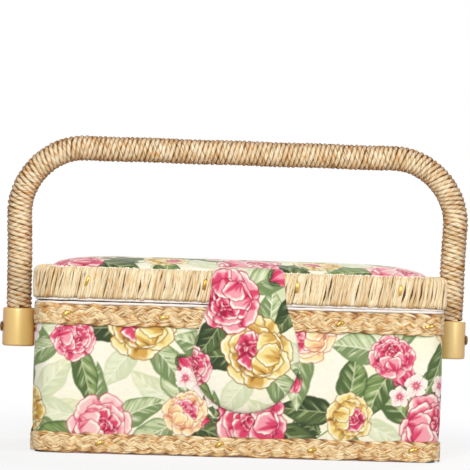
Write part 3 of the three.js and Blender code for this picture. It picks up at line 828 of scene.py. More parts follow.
class Finish:
    """A finish: builds its material once and dresses pieces with it."""

    name = "finish"
    slot = ""

    def material(self, effects: Effects) -> Material:
        """Builds the material."""
        raise NotImplementedError

    def start(self, **values: Any) -> tuple[Material, NodeBench, Node]:
        """Starts the material.

        Args:
            **values: The shader's plain values, by socket name with _ for a space.

        Returns:
            The material, a bench in it and its Principled shader.
        """
        material = bpy.data.materials.new(self.name)
        material.use_nodes = True
        shader = material.node_tree.nodes["Principled BSDF"]
        for key, value in values.items():
            shader.inputs[key.replace("_", " ")].default_value = value
        return material, NodeBench(material.node_tree), shader

    @staticmethod
    def bump(bench: NodeBench, shader: Node, height: Socket, strength: float, depth: float) -> None:
        """Gives the shader's normal a bump of that strength, depth in mm."""
        node = bench.put("Bump", {"Height": height, "Strength": strength, "Distance": depth * MM})
        bench.tree.links.new(node.outputs[0], shader.inputs["Normal"])


@dataclass(frozen=True)
class PrintedCloth(Finish):
    """Glazed cotton with the rose print, over padding."""

    name: str = "printed cotton"
    slot: str = "printed_cloth"
    threads: float = 1.5  # threads for each mm
    depth: float = 0.05  # height of the weave in mm

    def material(self, effects: Effects) -> Material:
        """Print from the piece's own colours, darkened a little in the weave.

        Args:
            effects: The shared effects.

        Returns:
            The material.
        """
        material, bench, shader = self.start(Roughness=0.72, Sheen_Weight=0.12, Sheen_Roughness=0.5)
        shader.inputs["Specular IOR Level"].default_value = 0.25
        ink = bench.put("Attribute", attribute_name="print").outputs["Color"]
        cloth = bench.put("Attribute", attribute_name="cloth").outputs["Vector"]
        weave = effects.put(bench, EffectKind.WEAVE, {"Cloth": cloth, "Threads": self.threads})
        slubs = bench.ramp(weave.outputs["Slub"], [(0.3, (249, 248, 246)), (0.7, (255, 255, 255))])
        colour = bench.tint(1.0, ink, slubs, "MULTIPLY")
        bench.tree.links.new(colour, shader.inputs["Base Color"])
        self.bump(bench, shader, weave.outputs["Height"], 0.35, self.depth)
        return material


@dataclass(frozen=True)
class Satin(Finish):
    """Off-white lining satin."""

    name: str = "lining satin"
    slot: str = "satin"
    pale: Colour = (251, 247, 239)  # colour of its lit threads
    shaded: Colour = (243, 238, 228)  # colour of its slubs
    gloss: float = 0.34  # roughness of its threads
    threads: float = 1.8  # threads for each mm
    depth: float = 0.04  # height of the weave in mm

    def material(self, effects: Effects) -> Material:
        """A smooth sheen with a fine weave on Object coordinates.

        Args:
            effects: The shared effects.

        Returns:
            The material.
        """
        material, bench, shader = self.start(Roughness=self.gloss, Sheen_Weight=0.2, Sheen_Roughness=0.4)
        place = bench.put("TexCoord").outputs["Object"]
        weave = effects.put(bench, EffectKind.WEAVE, {"Cloth": place, "Threads": self.threads / MM})
        colour = bench.ramp(weave.outputs["Slub"], [(0.3, self.shaded), (0.62, self.pale)])
        bench.tree.links.new(colour, shader.inputs["Base Color"])
        self.bump(bench, shader, weave.outputs["Height"], 0.2, self.depth)
        return material


@dataclass(frozen=True)
class Straw(Finish):
    """Plant fibre in strands: plaited, wound or twisted."""

    name: str = "braid straw"
    slot: str = "straw"
    # Colours from the shade between fibres to their highlights
    stops: tuple[Colour, ...] = ((118, 70, 30), (231, 196, 140), (252, 238, 198))
    patch: Colour = (238, 190, 116)  # colour of the darker patches along a strand
    patch_from: float = 0.52  # where the patches set in; lower gives more of them
    fineness: float = 1.8
    depth: float = 0.22  # height of the fibres in mm
    gloss: float = 0.4  # roughness of the fibres
    edge: Colour = (255, 255, 255)  # multiplies the colour where it turns away from the eye, a painted shade at the outlines
    shine: float = 0.4  # how strongly the fibres reflect
    edge_shade_power: float = 1.5  # how close to the outline that painted edge shade keeps
    # Places and colours of the tone ramp: painted shade deep between the strands, up to their own colour at
    # their tops
    shade_and_tone_stops: tuple[tuple[float, Colour], ...] = ((0.0, (104, 68, 38)), (0.35, (214, 186, 148)),
                                               (0.7, (255, 255, 255)))

    def material(self, effects: Effects) -> Material:
        """Fibre colours from the grain, patches over them, each strand a little lighter or darker, painted
        shade between the strands from the tone attribute and a painted edge shade where the surface turns
        away from the eye.

        Args:
            effects: The shared effects.

        Returns:
            The material.
        """
        material, bench, shader = self.start(Roughness=self.gloss)
        shader.inputs["Specular IOR Level"].default_value = self.shine
        grain = bench.put("Attribute", attribute_name="grain").outputs["Vector"]
        fibre = effects.put(bench, EffectKind.FIBRE, {"Grain": grain, "Fineness": self.fineness})
        low, middle, high = self.stops
        colour = bench.ramp(fibre.outputs["Fibre"], [(0.34, low), (0.47, middle), (0.62, high)])
        spread = bench.put("MapRange", {"Value": fibre.outputs["Patch"], "From Min": self.patch_from,
                                        "From Max": self.patch_from + 0.15, "To Max": 0.85}).outputs[0]
        colour = bench.tint(spread, colour, rgba(self.patch), "MULTIPLY")
        # Painted shade: the tone attribute darkens where strands lie under, beside or behind others, besides
        # each strand's own random tone
        tone = bench.put("Attribute", attribute_name="tone").outputs["Fac"]
        shade = bench.ramp(tone, self.shade_and_tone_stops)
        colour = bench.tint(1.0, colour, shade, "MULTIPLY")
        # Painted shade: the colour is multiplied by the edge colour where the surface turns away from the eye
        turned = bench.put("LayerWeight", {"Blend": 0.5}).outputs["Facing"]
        painted_edge_shade = bench.sum_of("POWER", turned, self.edge_shade_power)
        colour = bench.tint(painted_edge_shade, colour, rgba(self.edge), "MULTIPLY")
        bench.tree.links.new(colour, shader.inputs["Base Color"])
        self.bump(bench, shader, fibre.outputs["Height"], 0.7, self.depth)
        return material


@dataclass(frozen=True)
class Solid(Finish):
    """A rigid stuff with its own grain on Object coordinates: board, cane, moulding or metal."""

    name: str = "solid"
    slot: str = ""
    dark: Colour = (150, 120, 84)  # colour in its smudges
    light: Colour = (178, 148, 108)  # colour elsewhere
    scale: float = 60.0  # size of the smudges, in repeats for each metre
    rough: Pair = (0.8, 0.95)  # lowest and highest roughness
    metal: float = 0.0
    coat: float = 0.0  # weight of its clear coat
    depth: float = 0.05  # height of its grain in mm
    edge: Colour = (255, 255, 255)  # multiplies its colour where it turns away from the eye, a painted shade at its outlines

    def material(self, effects: Effects) -> Material:
        """Colour and roughness follow the wear, with a shallow bump from its scratches and a painted shade of
        the edge colour where the surface turns away from the eye.

        Args:
            effects: The shared effects.

        Returns:
            The material.
        """
        material, bench, shader = self.start(Metallic=self.metal, Coat_Weight=self.coat, Coat_Roughness=0.2)
        place = bench.put("TexCoord").outputs["Object"]
        wear = effects.put(bench, EffectKind.WEAR, {"Place": place, "Scale": self.scale})
        colour = bench.ramp(wear.outputs["Smudge"], [(0.35, self.dark), (0.6, self.light)])
        # Painted shade: the edge colour multiplies the colour where the surface turns away from the eye
        turned = bench.put("LayerWeight", {"Blend": 0.5}).outputs["Facing"]
        colour = bench.tint(turned, colour, rgba(self.edge), "MULTIPLY")
        bench.tree.links.new(colour, shader.inputs["Base Color"])
        rough = bench.put("MapRange", {"Value": wear.outputs["Scratch"], "From Min": 0.3, "From Max": 0.7,
                                       "To Min": self.rough[0], "To Max": self.rough[1]}).outputs[0]
        bench.tree.links.new(rough, shader.inputs["Roughness"])
        self.bump(bench, shader, wear.outputs["Scratch"], 0.3, self.depth)
        return material


class Wardrobe:
    """Every finish of the box, and the dressing of pieces with them."""

    def __init__(self) -> None:
        """Builds the shared effects and all the materials."""
        effects = Effects()
        finishes = (
            PrintedCloth(), Satin(),
            Satin("lip tape", pale=(247, 238, 230), shaded=(241, 231, 222), gloss=0.75),
            Straw(),
            Straw("rim raffia", "raffia", stops=((186, 146, 94), (241, 220, 177), (252, 240, 210)),
                  patch=(250, 228, 188), patch_from=0.55, fineness=1.7, depth=0.12),
            # The handle cord's edge colour paints shade along its outlines
            Straw("handle cord", stops=((116, 74, 36), (255, 226, 176), (255, 250, 228)),
                  patch=(248, 205, 150), patch_from=0.56, fineness=2.3, depth=0.28, gloss=0.6,
                  edge=(150, 84, 34), shine=0.0),
            # A dark raffia layer behind the rim's strips: painted shade for the slits between them
            Solid("raffia in painted shade", "raffia", dark=(78, 48, 22), light=(104, 68, 34), scale=200.0),
            Solid("box board", "board"),
            Solid("bent cane", "cane", dark=(150, 108, 60), light=(190, 150, 96), scale=40.0,
                  rough=(0.5, 0.75)),
            # The gold moulding's edge colour paints shade along its outlines
            Solid("gold moulding", "gold_plastic", dark=(246, 208, 128), light=(252, 220, 148), scale=30.0,
                  rough=(0.34, 0.42), metal=0.15, coat=0.2, depth=0.01, edge=(200, 148, 76)),
            Solid("plain brass", "brass", dark=(168, 126, 54), light=(204, 164, 88), scale=90.0,
                  rough=(0.18, 0.34), metal=1.0, depth=0.01),
            Solid("aged brass", "brass", dark=(104, 78, 44), light=(140, 108, 64), scale=90.0,
                  rough=(0.3, 0.5), metal=1.0, depth=0.01),
        )
        self.finishes = {finish.name: finish for finish in finishes}
        self.materials = {finish.name: finish.material(effects) for finish in finishes}

    def dress(self, piece: Piece, finish: str, body: str | None) -> None:
        """Gives a new piece its finish and the body that it rides on.

        Args:
            piece: The piece.
            finish: The finish's name.
            body: The CAD body, or None for a piece left without a body.
        """
        piece.data.materials.clear()
        piece.data.materials.append(self.materials[finish])
        if body:
            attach(piece, body)
        log.info("%s: %s, %d faces", piece.name, finish, len(piece.data.polygons))

    def dress_nodes(self, finish: str, *nodes: str) -> None:
        """Gives CAD nodes that stay their finish.

        Args:
            finish: The finish's name.
            *nodes: The nodes' names.
        """
        for node in nodes:
            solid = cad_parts[node]
            solid.data.materials.clear()
            solid.data.materials.append(self.materials[finish])
            log.info("%s: %s, CAD solid", node, finish)


# Sub-assemblies

@dataclass
class SubAssembly:
    """A part of the box that is built and dressed by itself."""

    wardrobe: Wardrobe
    tile: PrintedTile

    def build(self) -> None:
        """Builds and dresses the pieces."""
        raise NotImplementedError

    def printed(self, name: str, points: Array, across: Array, along: Array,
                place: Pair = (0.0, 0.0), upwards: float = 1.0) -> Piece:
        """Makes a piece of printed cloth.

        Args:
            name: The piece's name.
            points: Its rings in mm, shaped (rings, points, 3).
            across: Each point's place across the cloth.
            along: Each point's place along the cloth.
            place: Where the print's repeat starts.
            upwards: 1 where the print grows along the cloth, -1 where it grows the other way.

        Returns:
            The new object.
        """
        colours = self.tile.colour_at(across + place[0], place[1] + upwards * along)
        cloth = np.stack([across, along, np.zeros_like(along)], axis=-1)
        return tubes(name, points[None], print=colours[None], cloth=cloth[None])


@dataclass
class Plait:
    """A flat plait of straw strands round a course."""

    course: Course  # the walk that it follows
    middle: float  # height of its middle line
    width: float  # its whole width
    strands: int = 5
    straws: int = 3  # how many straws lie side by side in a strand
    bout: float = 33.0  # about how far a strand runs before it comes back to the same edge
    strand_width: float = 4.0
    strand_thick: float = 0.42
    lift: float = 0.22  # how far a strand rises and dips over the others
    step: float = 0.9  # distance between the rings along a strand
    sides: int = 6  # points round a straw's section
    seed: int = 3  # seed of the straws' unevenness

    def zigzag(self, phase: Array) -> Array:
        """How far a strand lies from the middle line: a sine with flattened turns."""
        return 0.5 * (self.width - self.strand_width) * (np.sin(phase) + np.sin(3.0 * phase) / 20.0)

    def rings(self) -> tuple[Array, Array, Array]:
        """Works out the straws.

        Each strand swings across the braid, an equal share of a bout behind the one before, and passes over
        and under the others in turn, as a sine that runs faster than its swing by one less than the strands.
        Its straws lie side by side and waver over each other. A straw's section is a flat oval.

        Returns:
            Rings, their grain coordinates and their tone, which carries painted shade where strands pass
            under others and at each straw's sides.
        """
        length = self.course.length
        bouts = round(length / self.bout)
        walked = np.linspace(0.0, length, round(length / self.step), endpoint=False)
        strand = np.repeat(np.arange(self.strands), self.straws)[:, None]
        lane = np.tile(np.arange(self.straws) - 0.5 * (self.straws - 1), self.strands)[:, None]
        phase = FULL_TURN * (bouts * walked / length + strand / self.strands)
        nudge = 0.01
        rise = (self.zigzag(phase + nudge) - self.zigzag(phase - nudge)) / (2.0 * nudge)
        slope = np.arctan(rise * FULL_TURN * bouts / length)[..., None]
        draw = np.random.default_rng(self.seed)
        shape = (3, len(strand), 1)
        waves, starts = draw.integers(14, 34, shape), draw.uniform(0.0, FULL_TURN, shape)
        waver = np.sin(FULL_TURN * waves * walked / length + starts)
        depth = self.lift * np.sin((self.strands - 1) * (phase + QUARTER_TURN)) + 0.12 * waver[0]
        share = self.strand_width / (self.straws + 0.3)
        angle = FULL_TURN * np.arange(self.sides) / self.sides
        across = (0.66 + 0.1 * waver[1])[..., None] * share * np.cos(angle)
        across = across + share * (0.92 * lane + 0.3 * waver[2])[..., None]
        out = depth[..., None] + 0.5 * self.strand_thick * np.sin(angle)
        along = walked[:, None] - across * np.sin(slope)
        height = self.middle + self.zigzag(phase)[..., None] + across * np.cos(slope)
        rings = self.course.place(along, out, height)
        order = np.arange(len(strand))[:, None, None]
        run = np.broadcast_to(walked[:, None] * 1.25 + 90.0 * order, across.shape)
        grain = np.stack([run, across, 0.6 * out + 3.0 * order], axis=-1)
        # Painted shade: the tone is darker where a strand dips under the others and at each straw's sides;
        # the random factor is each straw's own tone
        tone = np.clip(0.62 + 0.38 * depth / self.lift, 0.0, 1.0) * draw.uniform(0.7, 1.1, (len(strand), 1))
        return rings, grain, tone[..., None] * (1.0 - 0.5 * np.abs(np.cos(angle)) ** 4)


@dataclass
class Staples:
    """Small brass staples that hold the braid and the raffia."""

    span: float = 3.8  # length of a staple's back
    wire: Pair = (0.75, 0.32)  # half the width and half the thickness of its flattened wire
    leg: float = 1.2  # how far its legs go in
    shoulder: Pair = (0.4, 0.25)  # length and depth of the bend between its back and a leg

    def rings(self, course: Course, walked: Array, height: Array, slant: Array, out: float) -> Array:
        """Works out staples whose backs lie on a course's outside, each turned by its slant.

        Args:
            course: The walk that they lie on.
            walked: Place of each along the course.
            height: Height of each.
            slant: Angle of each back from level, in radians.
            out: Distance of the backs outwards from the course.

        Returns:
            Rings, shaped (staples, 6, 6, 3).
        """
        reach, (bend, sink) = 0.5 * self.span, self.shoulder
        along = np.array([-reach, -reach, bend - reach, reach - bend, reach, reach])
        depth = np.array([-self.leg, -sink, 0.0, 0.0, -sink, -self.leg])
        turn = np.array([1.0, 0.8, 0.1, -0.1, -0.8, -1.0]) * QUARTER_TURN
        angle = FULL_TURN * np.arange(6) / 6
        side = self.wire[0] * np.cos(angle)
        lift = self.wire[1] * np.sin(angle)
        back = along[:, None] - lift * np.sin(turn)[:, None]
        rise = depth[:, None] + lift * np.cos(turn)[:, None]
        cosine, sine = np.cos(slant)[:, None, None], np.sin(slant)[:, None, None]
        run = walked[:, None, None] + back * cosine - side * sine
        up = height[:, None, None] + back * sine + side * cosine
        return course.place(run, out + rise, up)

    @staticmethod
    def spots(course: Course, front: tuple[float, ...], spacing: float) -> Array:
        """Places along a course: those given at the front, and evenly spaced ones past it.

        Args:
            course: The walk.
            front: Places from the front's middle.
            spacing: Distance between the others.

        Returns:
            Distances walked.
        """
        middle, reach = 0.25 * course.length, course.half_x
        rest = np.arange(middle + reach + 0.4 * spacing, middle + course.length - reach, spacing)
        return np.r_[middle + np.array(front), rest]


@dataclass
class Walls(SubAssembly):
    """The box below the lid: padded printed walls, braids, lip, lining and base."""

    corner: float = 8.0  # radius of the cover's corners
    pitch: float = 0.4  # distance between the printed points
    puff: float = 0.7  # how far the padding swells between the braids
    tuck: float = 0.8  # how far the printed rows reach behind the braids
    cloth_back: float = 1.2  # how far the cloth's back lies inside its face
    base_grid: tuple[int, int] = (160, 260)  # rings along the base and points across it
    base_share: float = 0.99  # share of its rectangle that the base's rounded corners leave
    braid_out: float = 0.1  # how far the braids' middle stands out from half their depth
    # Places of the staples on the front of the top braid, from its middle
    top_staples: tuple[float, ...] = (-79.0, -35.0, 45.0, 86.0)
    bottom_staples: tuple[float, ...] = (-62.0, -8.0, 34.0, 80.0)  # the same for the bottom braid
    staple_spacing: float = 47.0  # distance between the other staples
    lip_out: float = 0.25  # how far the lip's tape reaches past its solid
    lip_hang: float = 0.8  # how far the tape is turned down below its solid
    lip_drop: float = 0.62  # how far the tape is pressed down from its full height
    lip_tilt: float = 0.3  # how much higher the tape lies at the right end than in the middle
    lip_wave: Pair = (0.06, 9.0)  # height and length of the tape's waves
    pad_tuck: float = 0.6  # how far the end and floor pads are tucked into their neighbours
    print_place: Pair = (10.0, 6.0)  # where the print's repeat starts on the walls

    def build(self) -> None:
        """Builds and dresses the walls' pieces."""
        self.cover()
        self.base()
        self.braids()
        self.lip()
        self.lining()
        self.wardrobe.dress_nodes("box board", "bottom_board", "front_board", "back_board", "left_board",
                                  "right_board")
        self.wardrobe.dress_nodes("plain brass", "keeper_plate", "left_washer", "right_washer")
        self.wardrobe.dress_nodes("aged brass", "left_bush", "right_bush", "left_rivet", "right_rivet")

    def course(self, out: float = 0.0) -> Course:
        """The walk round the outside of the cover, moved outwards."""
        _, high = box_of("wall_cover")
        return Course(high[0] + out, high[1] + out, self.corner + out)

    def cover(self) -> None:
        """Builds the printed cloth in two halves, sewn at the middle of each end.

        Between the braids the cloth swells as 1 - |v|^3 of its height, less at the corners, with puckers
        that die away from the braids and a seam valley at its two ends.
        """
        low, high = box_of("wall_cover")
        bottom, top = box_of("bottom_braid")[1][2] - self.tuck, box_of("top_braid")[0][2] + self.tuck
        course = self.course()
        half_way = 0.5 * course.length
        pucker_depth, pucker_pitch, pucker_reach = 0.1, 6.3, 3.5
        seam_half, seam_depth = 0.9, 0.35
        rows = np.linspace(bottom, top, round((top - bottom) / self.pitch))
        height = np.r_[low[2], rows, high[2], high[2], low[2]]
        run = np.linspace(0.0, half_way, round(half_way / self.pitch))
        seam = sum(np.exp(-((far / seam_half) ** 2)) for far in (run, half_way - run))
        for half, name in enumerate(("wall_cloth_front", "wall_cloth_back")):
            walked, level = np.meshgrid(run + half * half_way, height, indexing="ij")
            share = np.clip((level - bottom) / (top - bottom), 0.0, 1.0)
            swell = self.puff * (1.0 - np.abs(2.0 * share - 1.0) ** 3)
            swell = swell * (0.3 + 0.7 * course.flatness(walked))
            edge = np.exp(-(level - bottom) / pucker_reach) + np.exp(-(top - level) / pucker_reach)
            waves = FULL_TURN * walked / pucker_pitch + 2.0 * ripples(walked, level, 40.0, 4)
            pucker = pucker_depth * np.sin(waves) * edge
            out = swell + pucker + 0.1 * ripples(walked, level, 22.0, 9) - seam_depth * seam[:, None]
            out[:, 0] = out[:, -3] = -0.15
            out[:, -2:] = -self.cloth_back
            piece = self.printed(name, course.place(walked, out, level), walked, level, self.print_place)
            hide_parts("wall_cover")
            self.wardrobe.dress(piece, "printed cotton", "box")

    def base(self) -> None:
        """Builds the printed cloth under the box, a thin sheet whose ends round off as the corners do."""
        low, high = box_of("base_cloth")
        reach, half = high[1], high[0]
        along = np.linspace(-reach, reach, self.base_grid[0])
        across, run, _ = panel(along, rounded_half(along, reach, half, self.corner), self.base_grid[1])
        height = np.full_like(across, low[2])
        height[:, -2:] = high[2]
        piece = self.printed("base_sheet", np.stack([across, run, height], axis=-1), across, run)
        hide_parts("base_cloth")
        self.wardrobe.dress(piece, "printed cotton", "box")

    def braids(self) -> None:
        """Builds the plaits round the top and the bottom of the walls, and their staples."""
        cover = box_of("wall_cover")[1][1]
        front = {"top_braid": self.top_staples, "bottom_braid": self.bottom_staples}
        for start, (node, places) in enumerate(front.items()):
            low, high = box_of(node)
            course = self.course(0.5 * (high[1] + cover) - cover + self.braid_out)
            plait = Plait(course, 0.5 * (low[2] + high[2]), high[2] - low[2])
            rings, grain, tone = plait.rings()
            piece = tubes(f"{node}_plait", rings, ring_road=True, grain=grain + start * 310.0, tone=tone)
            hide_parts(node)
            self.wardrobe.dress(piece, "braid straw", "box")
            walked = Staples.spots(course, places, self.staple_spacing)
            draw = np.random.default_rng(start)
            height = plait.middle + draw.uniform(-0.8, 0.8, len(walked))
            slant = draw.uniform(0.2, 0.6, len(walked))
            staples = Staples().rings(course, walked, height, slant, out=0.9)
            self.wardrobe.dress(tubes(f"{node}_staples", staples), "plain brass", "box")

    def lip(self) -> None:
        """Builds the bound lip: a tape over the walls' top, rolled at its edge and turned down outside."""
        low, high = box_of("lip_binding")
        course = self.course()
        inner = box_of("lining_front")[1][1] + course.half_y
        edge, bottom = high[1] - course.half_y + self.lip_out, low[2] - self.lip_hang
        top = high[2] - self.lip_drop
        roll = 0.5 * (top - bottom)
        turn = np.linspace(-QUARTER_TURN, QUARTER_TURN, 7)
        out = np.r_[-inner, edge - roll + roll * np.cos(turn), -inner]
        height = np.r_[low[2], top - roll + roll * np.sin(turn), top]
        rings = course.band(out, height, self.lip_wave)
        rings[..., 2] += self.lip_tilt * rings[..., 0] / course.half_x
        piece = tubes("lip_band", rings, ring_road=True)
        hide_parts("lip_binding")
        self.wardrobe.dress(piece, "lip tape", "box")

    def lining(self) -> None:
        """Builds the satin pads of the walls and the floor."""
        pads = {"lining_front": (1, 1), "lining_back": (1, -1), "lining_left": (0, 1),
                "lining_right": (0, -1), "floor_pad": (2, 1)}
        for node, (axis, side) in pads.items():
            low, high = box_of(node)
            grow = self.pad_tuck * (np.arange(3) != axis) * (axis != 1)
            piece = tubes(f"{node}_quilt", Quilting().rings(low - grow, high + grow, axis, side))
            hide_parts(node)
            self.wardrobe.dress(piece, "lining satin", "box")


@dataclass
class Lid(SubAssembly):
    """The lid: printed dome, raffia rim, lining and cloth hinge."""

    rim_corner: float = 9.7  # plan radius of the rim's outer corners
    rim_edge: float = 3.2  # radius of the rim's upper outer edge
    rim_hang: float = 0.7  # how far the raffia hangs below the rim, over the lining's edge
    # How far inwards the raffia's top ends, how far its tip lies, and how deep that goes
    rim_inside: Triple = (7.0, 8.2, 2.4)
    strips: int = 540  # how many raffia strips go round the rim
    strip_cover: float = 0.66  # half width of a strip, as a share of its place along the rim
    strip_lean: float = 4.2  # how far a strip leans over the whole section
    # Places of the staples on the front of the rim, from its middle
    rim_staples: tuple[float, ...] = (-70.0, -17.0, 25.0, 72.0)
    staple_spacing: float = 52.0  # distance between the other staples
    crown_powers: Pair = (7.0, 3.2)  # how squarely the dome runs to its ends and to its sides
    dome_foot: float = 0.6  # how far below the rim's top the dome starts
    dome_tuck: float = 1.3  # how far the dome's cloth is pressed out against the rim's inner edge
    pitch: float = 0.42  # distance between the dome's printed points
    print_place: Pair = (18.0, 60.0)  # where the print's repeat starts on the dome
    lining_roll: float = 1.0  # how far the lining's edge rolls out under the rim
    lining_thick: float = 0.55  # thickness of the lining's edge
    lining_swell: float = 1.7  # how far the lining swells into the box
    lining_clear: float = 3.5  # how far that swelling stays from the pads of the walls
    channel: float = 26.0  # distance between the channels sewn across the lining
    edging_roll: float = 0.4  # radius of the lining's turned edge under the raffia
    edging_in: float = 1.15  # how far the middle of that edge lies behind the rim's face
    edging_rise: float = -0.22  # height of its middle over the lining's underside
    hinge_hold: float = 5.6  # how far the hinge's cloth reaches from its fold, glued in above and below

    def build(self) -> None:
        """Builds and dresses the lid's pieces, the rim's from one run of random draws."""
        self.dome()
        draw = np.random.default_rng(17)
        self.raffia(draw)
        self.underlay()
        self.staples(draw)
        self.lining()
        self.edging()
        self.hinge()
        self.wardrobe.dress_nodes("box board", "lid_board")
        self.wardrobe.dress_nodes("bent cane", "rim_core")

    def course(self) -> Course:
        """The walk round the rim's outer face."""
        _, high = box_of("rim_wrap")
        return Course(high[0], high[1], self.rim_corner)

    def dome(self) -> None:
        """Builds the padded printed top.

        Its height is the root of (1 - |x|^7)(1 - |y|^3.2), with shallow puckers near the rim.
        """
        low, high = box_of("lid_cover")
        pucker_depth, pucker_pitch, pucker_reach = 0.16, 7.0, 5.0
        foot = box_of("rim_wrap")[1][2] - self.dome_foot
        half_x, half_y = high[0] + self.dome_tuck, high[1] + self.dome_tuck
        along = np.linspace(-half_x, half_x, round(2.0 * half_x / self.pitch))
        across, along, _ = panel(along, np.full(along.shape, half_y), round(2.0 * half_y / self.pitch))
        end_power, side_power = self.crown_powers
        x, y = along / half_x, across / half_y
        crown = np.sqrt((1.0 - np.abs(x) ** end_power) * (1.0 - np.abs(y) ** side_power))
        near = np.exp(-np.minimum(half_x - np.abs(along), half_y - np.abs(across)) / pucker_reach)
        waves = FULL_TURN * (along + across) / pucker_pitch + 2.0 * ripples(along, across, 35.0, 2)
        pucker = pucker_depth * near * np.sin(waves)
        uneven = 0.15 * crown * ripples(along, across, 30.0, 6)
        height = foot + (high[2] - foot) * crown + pucker * crown + uneven
        height[:, -2:] = low[2]
        middle = along.shape[1] // 2
        run = np.broadcast_to(walked_over(along[:, middle], height[:, middle])[:, None], along.shape)
        rise = np.pad(walked_over(across[:, :-2], height[:, :-2]), ((0, 0), (0, 2)), mode="edge")
        points = np.stack([along, across, height], axis=-1)
        piece = self.printed("lid_dome", points, run, rise, self.print_place)
        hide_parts("lid_cover", "lid_foam")
        self.wardrobe.dress(piece, "printed cotton", "lid")

    def rim_section(self) -> tuple[Array, Array, Array, Array, Array]:
        """The rim's section, from its lower edge up its face, over its top and down inside.

        Returns:
            Distance along the section, distance outwards from the face, height, and the outward and upward
            parts of its normal, one row each.
        """
        low, high = box_of("rim_wrap")
        bottom, top, edge = low[2] - self.rim_hang, high[2], self.rim_edge
        inner, tip, drop = self.rim_inside
        turn = np.linspace(0.0, QUARTER_TURN, 5)
        out = np.r_[-0.55, -0.12, 0.0, 0.0, 0.0, edge * (np.cos(turn) - 1.0), -inner, -tip]
        face = np.array([0.0, 0.35, 1.5, 3.6, 6.0])
        height = np.r_[bottom + face, top - edge + edge * np.sin(turn), top, top - drop]
        walked = run_along(out, height)
        tangent_out, tangent_up = np.gradient(out, walked), np.gradient(height, walked)
        size = np.hypot(tangent_out, tangent_up)
        return walked, out, height, tangent_up / size, -tangent_out / size

    def raffia(self, draw: np.random.Generator) -> None:
        """Builds the raffia strips over the rim.

        Each strip is the rim's section moved along the walk. It leans, and it wavers most at mid height. Its
        width, lean and lift are drawn at random, one edge is drawn in at one height and its lower end is
        ragged, so that strips cross and short slits show between them, dark with the underlay's painted
        shade.
        Its own section is an arch, and its tone paints shade at its sides, on its back and near the rim's
        lower edge.

        Args:
            draw: Where the strips' unevenness is drawn from.
        """
        course = self.course()
        walked, out, height, normal_out, normal_up = self.rim_section()
        count, each, every = self.strips, (self.strips, 1), (self.strips, 1, 1)
        width = draw.uniform(0.5, 1.5, count)
        width = width / width.sum() * course.length
        start = (np.cumsum(width) - 0.5 * width)[:, None, None]
        level = walked / walked[-1]
        bow = np.sin(math.pi * np.clip(level / 0.72, 0.0, 1.0))
        lean = self.strip_lean * (level - 0.4) + draw.uniform(-0.48, 0.48, each) * bow
        waver = np.sin(FULL_TURN * (level * draw.uniform(0.6, 1.6, each) + draw.random(each)))
        waver = waver * (0.12 + 0.16 * bow)
        pinch = draw.uniform(0.2, 0.48, each)
        narrow = 0.5 * draw.uniform(0.0, 1.0, each) ** 1.3 * np.exp(-(((level - pinch) / 0.1) ** 2))
        narrow = narrow + draw.uniform(0.0, 0.34, each) * np.exp(-((level / 0.03) ** 2))
        share = np.array([-1.0, 0.0, 1.0, 0.85, -0.85])
        arch = np.array([-0.35, 0.02, -0.35, -0.9, -0.9])
        across = self.strip_cover * width[:, None, None] * (share + narrow[..., None] * (1.0 - share))
        place = start + (lean + waver)[..., None] + across
        lift = draw.uniform(-0.1, 0.35, every) + arch
        ragged = draw.uniform(-0.2, 0.45, every) * np.exp(-((level / 0.05) ** 2))[:, None]
        rings = course.place(place, out[:, None] + lift * normal_out[:, None],
                             height[:, None] + lift * normal_up[:, None] + ragged)
        run = np.broadcast_to(walked[:, None] + 17.0 * np.arange(count)[:, None, None], across.shape)
        grain = np.stack([run, across + start, np.zeros_like(across)], axis=-1)
        # Painted shade: the tone is darker at each strip's sides, much darker on its hidden back and darker
        # near the rim's lower edge; the random factor is each strip's own tone
        tone = draw.uniform(0.55, 1.15, every) * np.array([0.66, 1.0, 0.66, 0.3, 0.3])
        tone = tone * (1.0 - 0.3 * np.exp(-((level / 0.08) ** 2)))[:, None]
        piece = tubes("rim_raffia", rings, grain=grain, tone=tone)
        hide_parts("rim_wrap")
        self.wardrobe.dress(piece, "rim raffia", "lid")

    def underlay(self) -> None:
        """Builds the raffia layer behind the strips, dark as painted shade in the slits: the rim's section,
        moved inwards and given a thickness.
        """
        course = self.course()
        _, out, height, normal_out, normal_up = self.rim_section()
        depth = np.array([-0.55, -1.0])[:, None]
        layers = out + depth * normal_out, height + depth * normal_up
        layers = [np.r_[layer[0], layer[1][::-1]] for layer in layers]
        around = np.linspace(0.0, course.length, 360, endpoint=False)[:, None]
        piece = tubes("rim_underlay", course.place(around, *layers)[None], ring_road=True)
        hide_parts("rim_wrap")
        self.wardrobe.dress(piece, "raffia in painted shade", "lid")

    def staples(self, draw: np.random.Generator) -> None:
        """Builds the nearly upright staples a little above the middle of the rim's face.

        Args:
            draw: Where their slant is drawn from.
        """
        course, height = self.course(), self.rim_section()[2]
        spots = Staples.spots(course, self.rim_staples, self.staple_spacing)
        middle = np.full(spots.shape, 0.45 * height.min() + 0.55 * height.max())
        upright = QUARTER_TURN - draw.uniform(0.0, 0.4, spots.shape)
        staples = Staples(span=4.4).rings(course, spots, middle, upright, out=0.1)
        self.wardrobe.dress(tubes("rim_staples", staples), "plain brass", "lid")

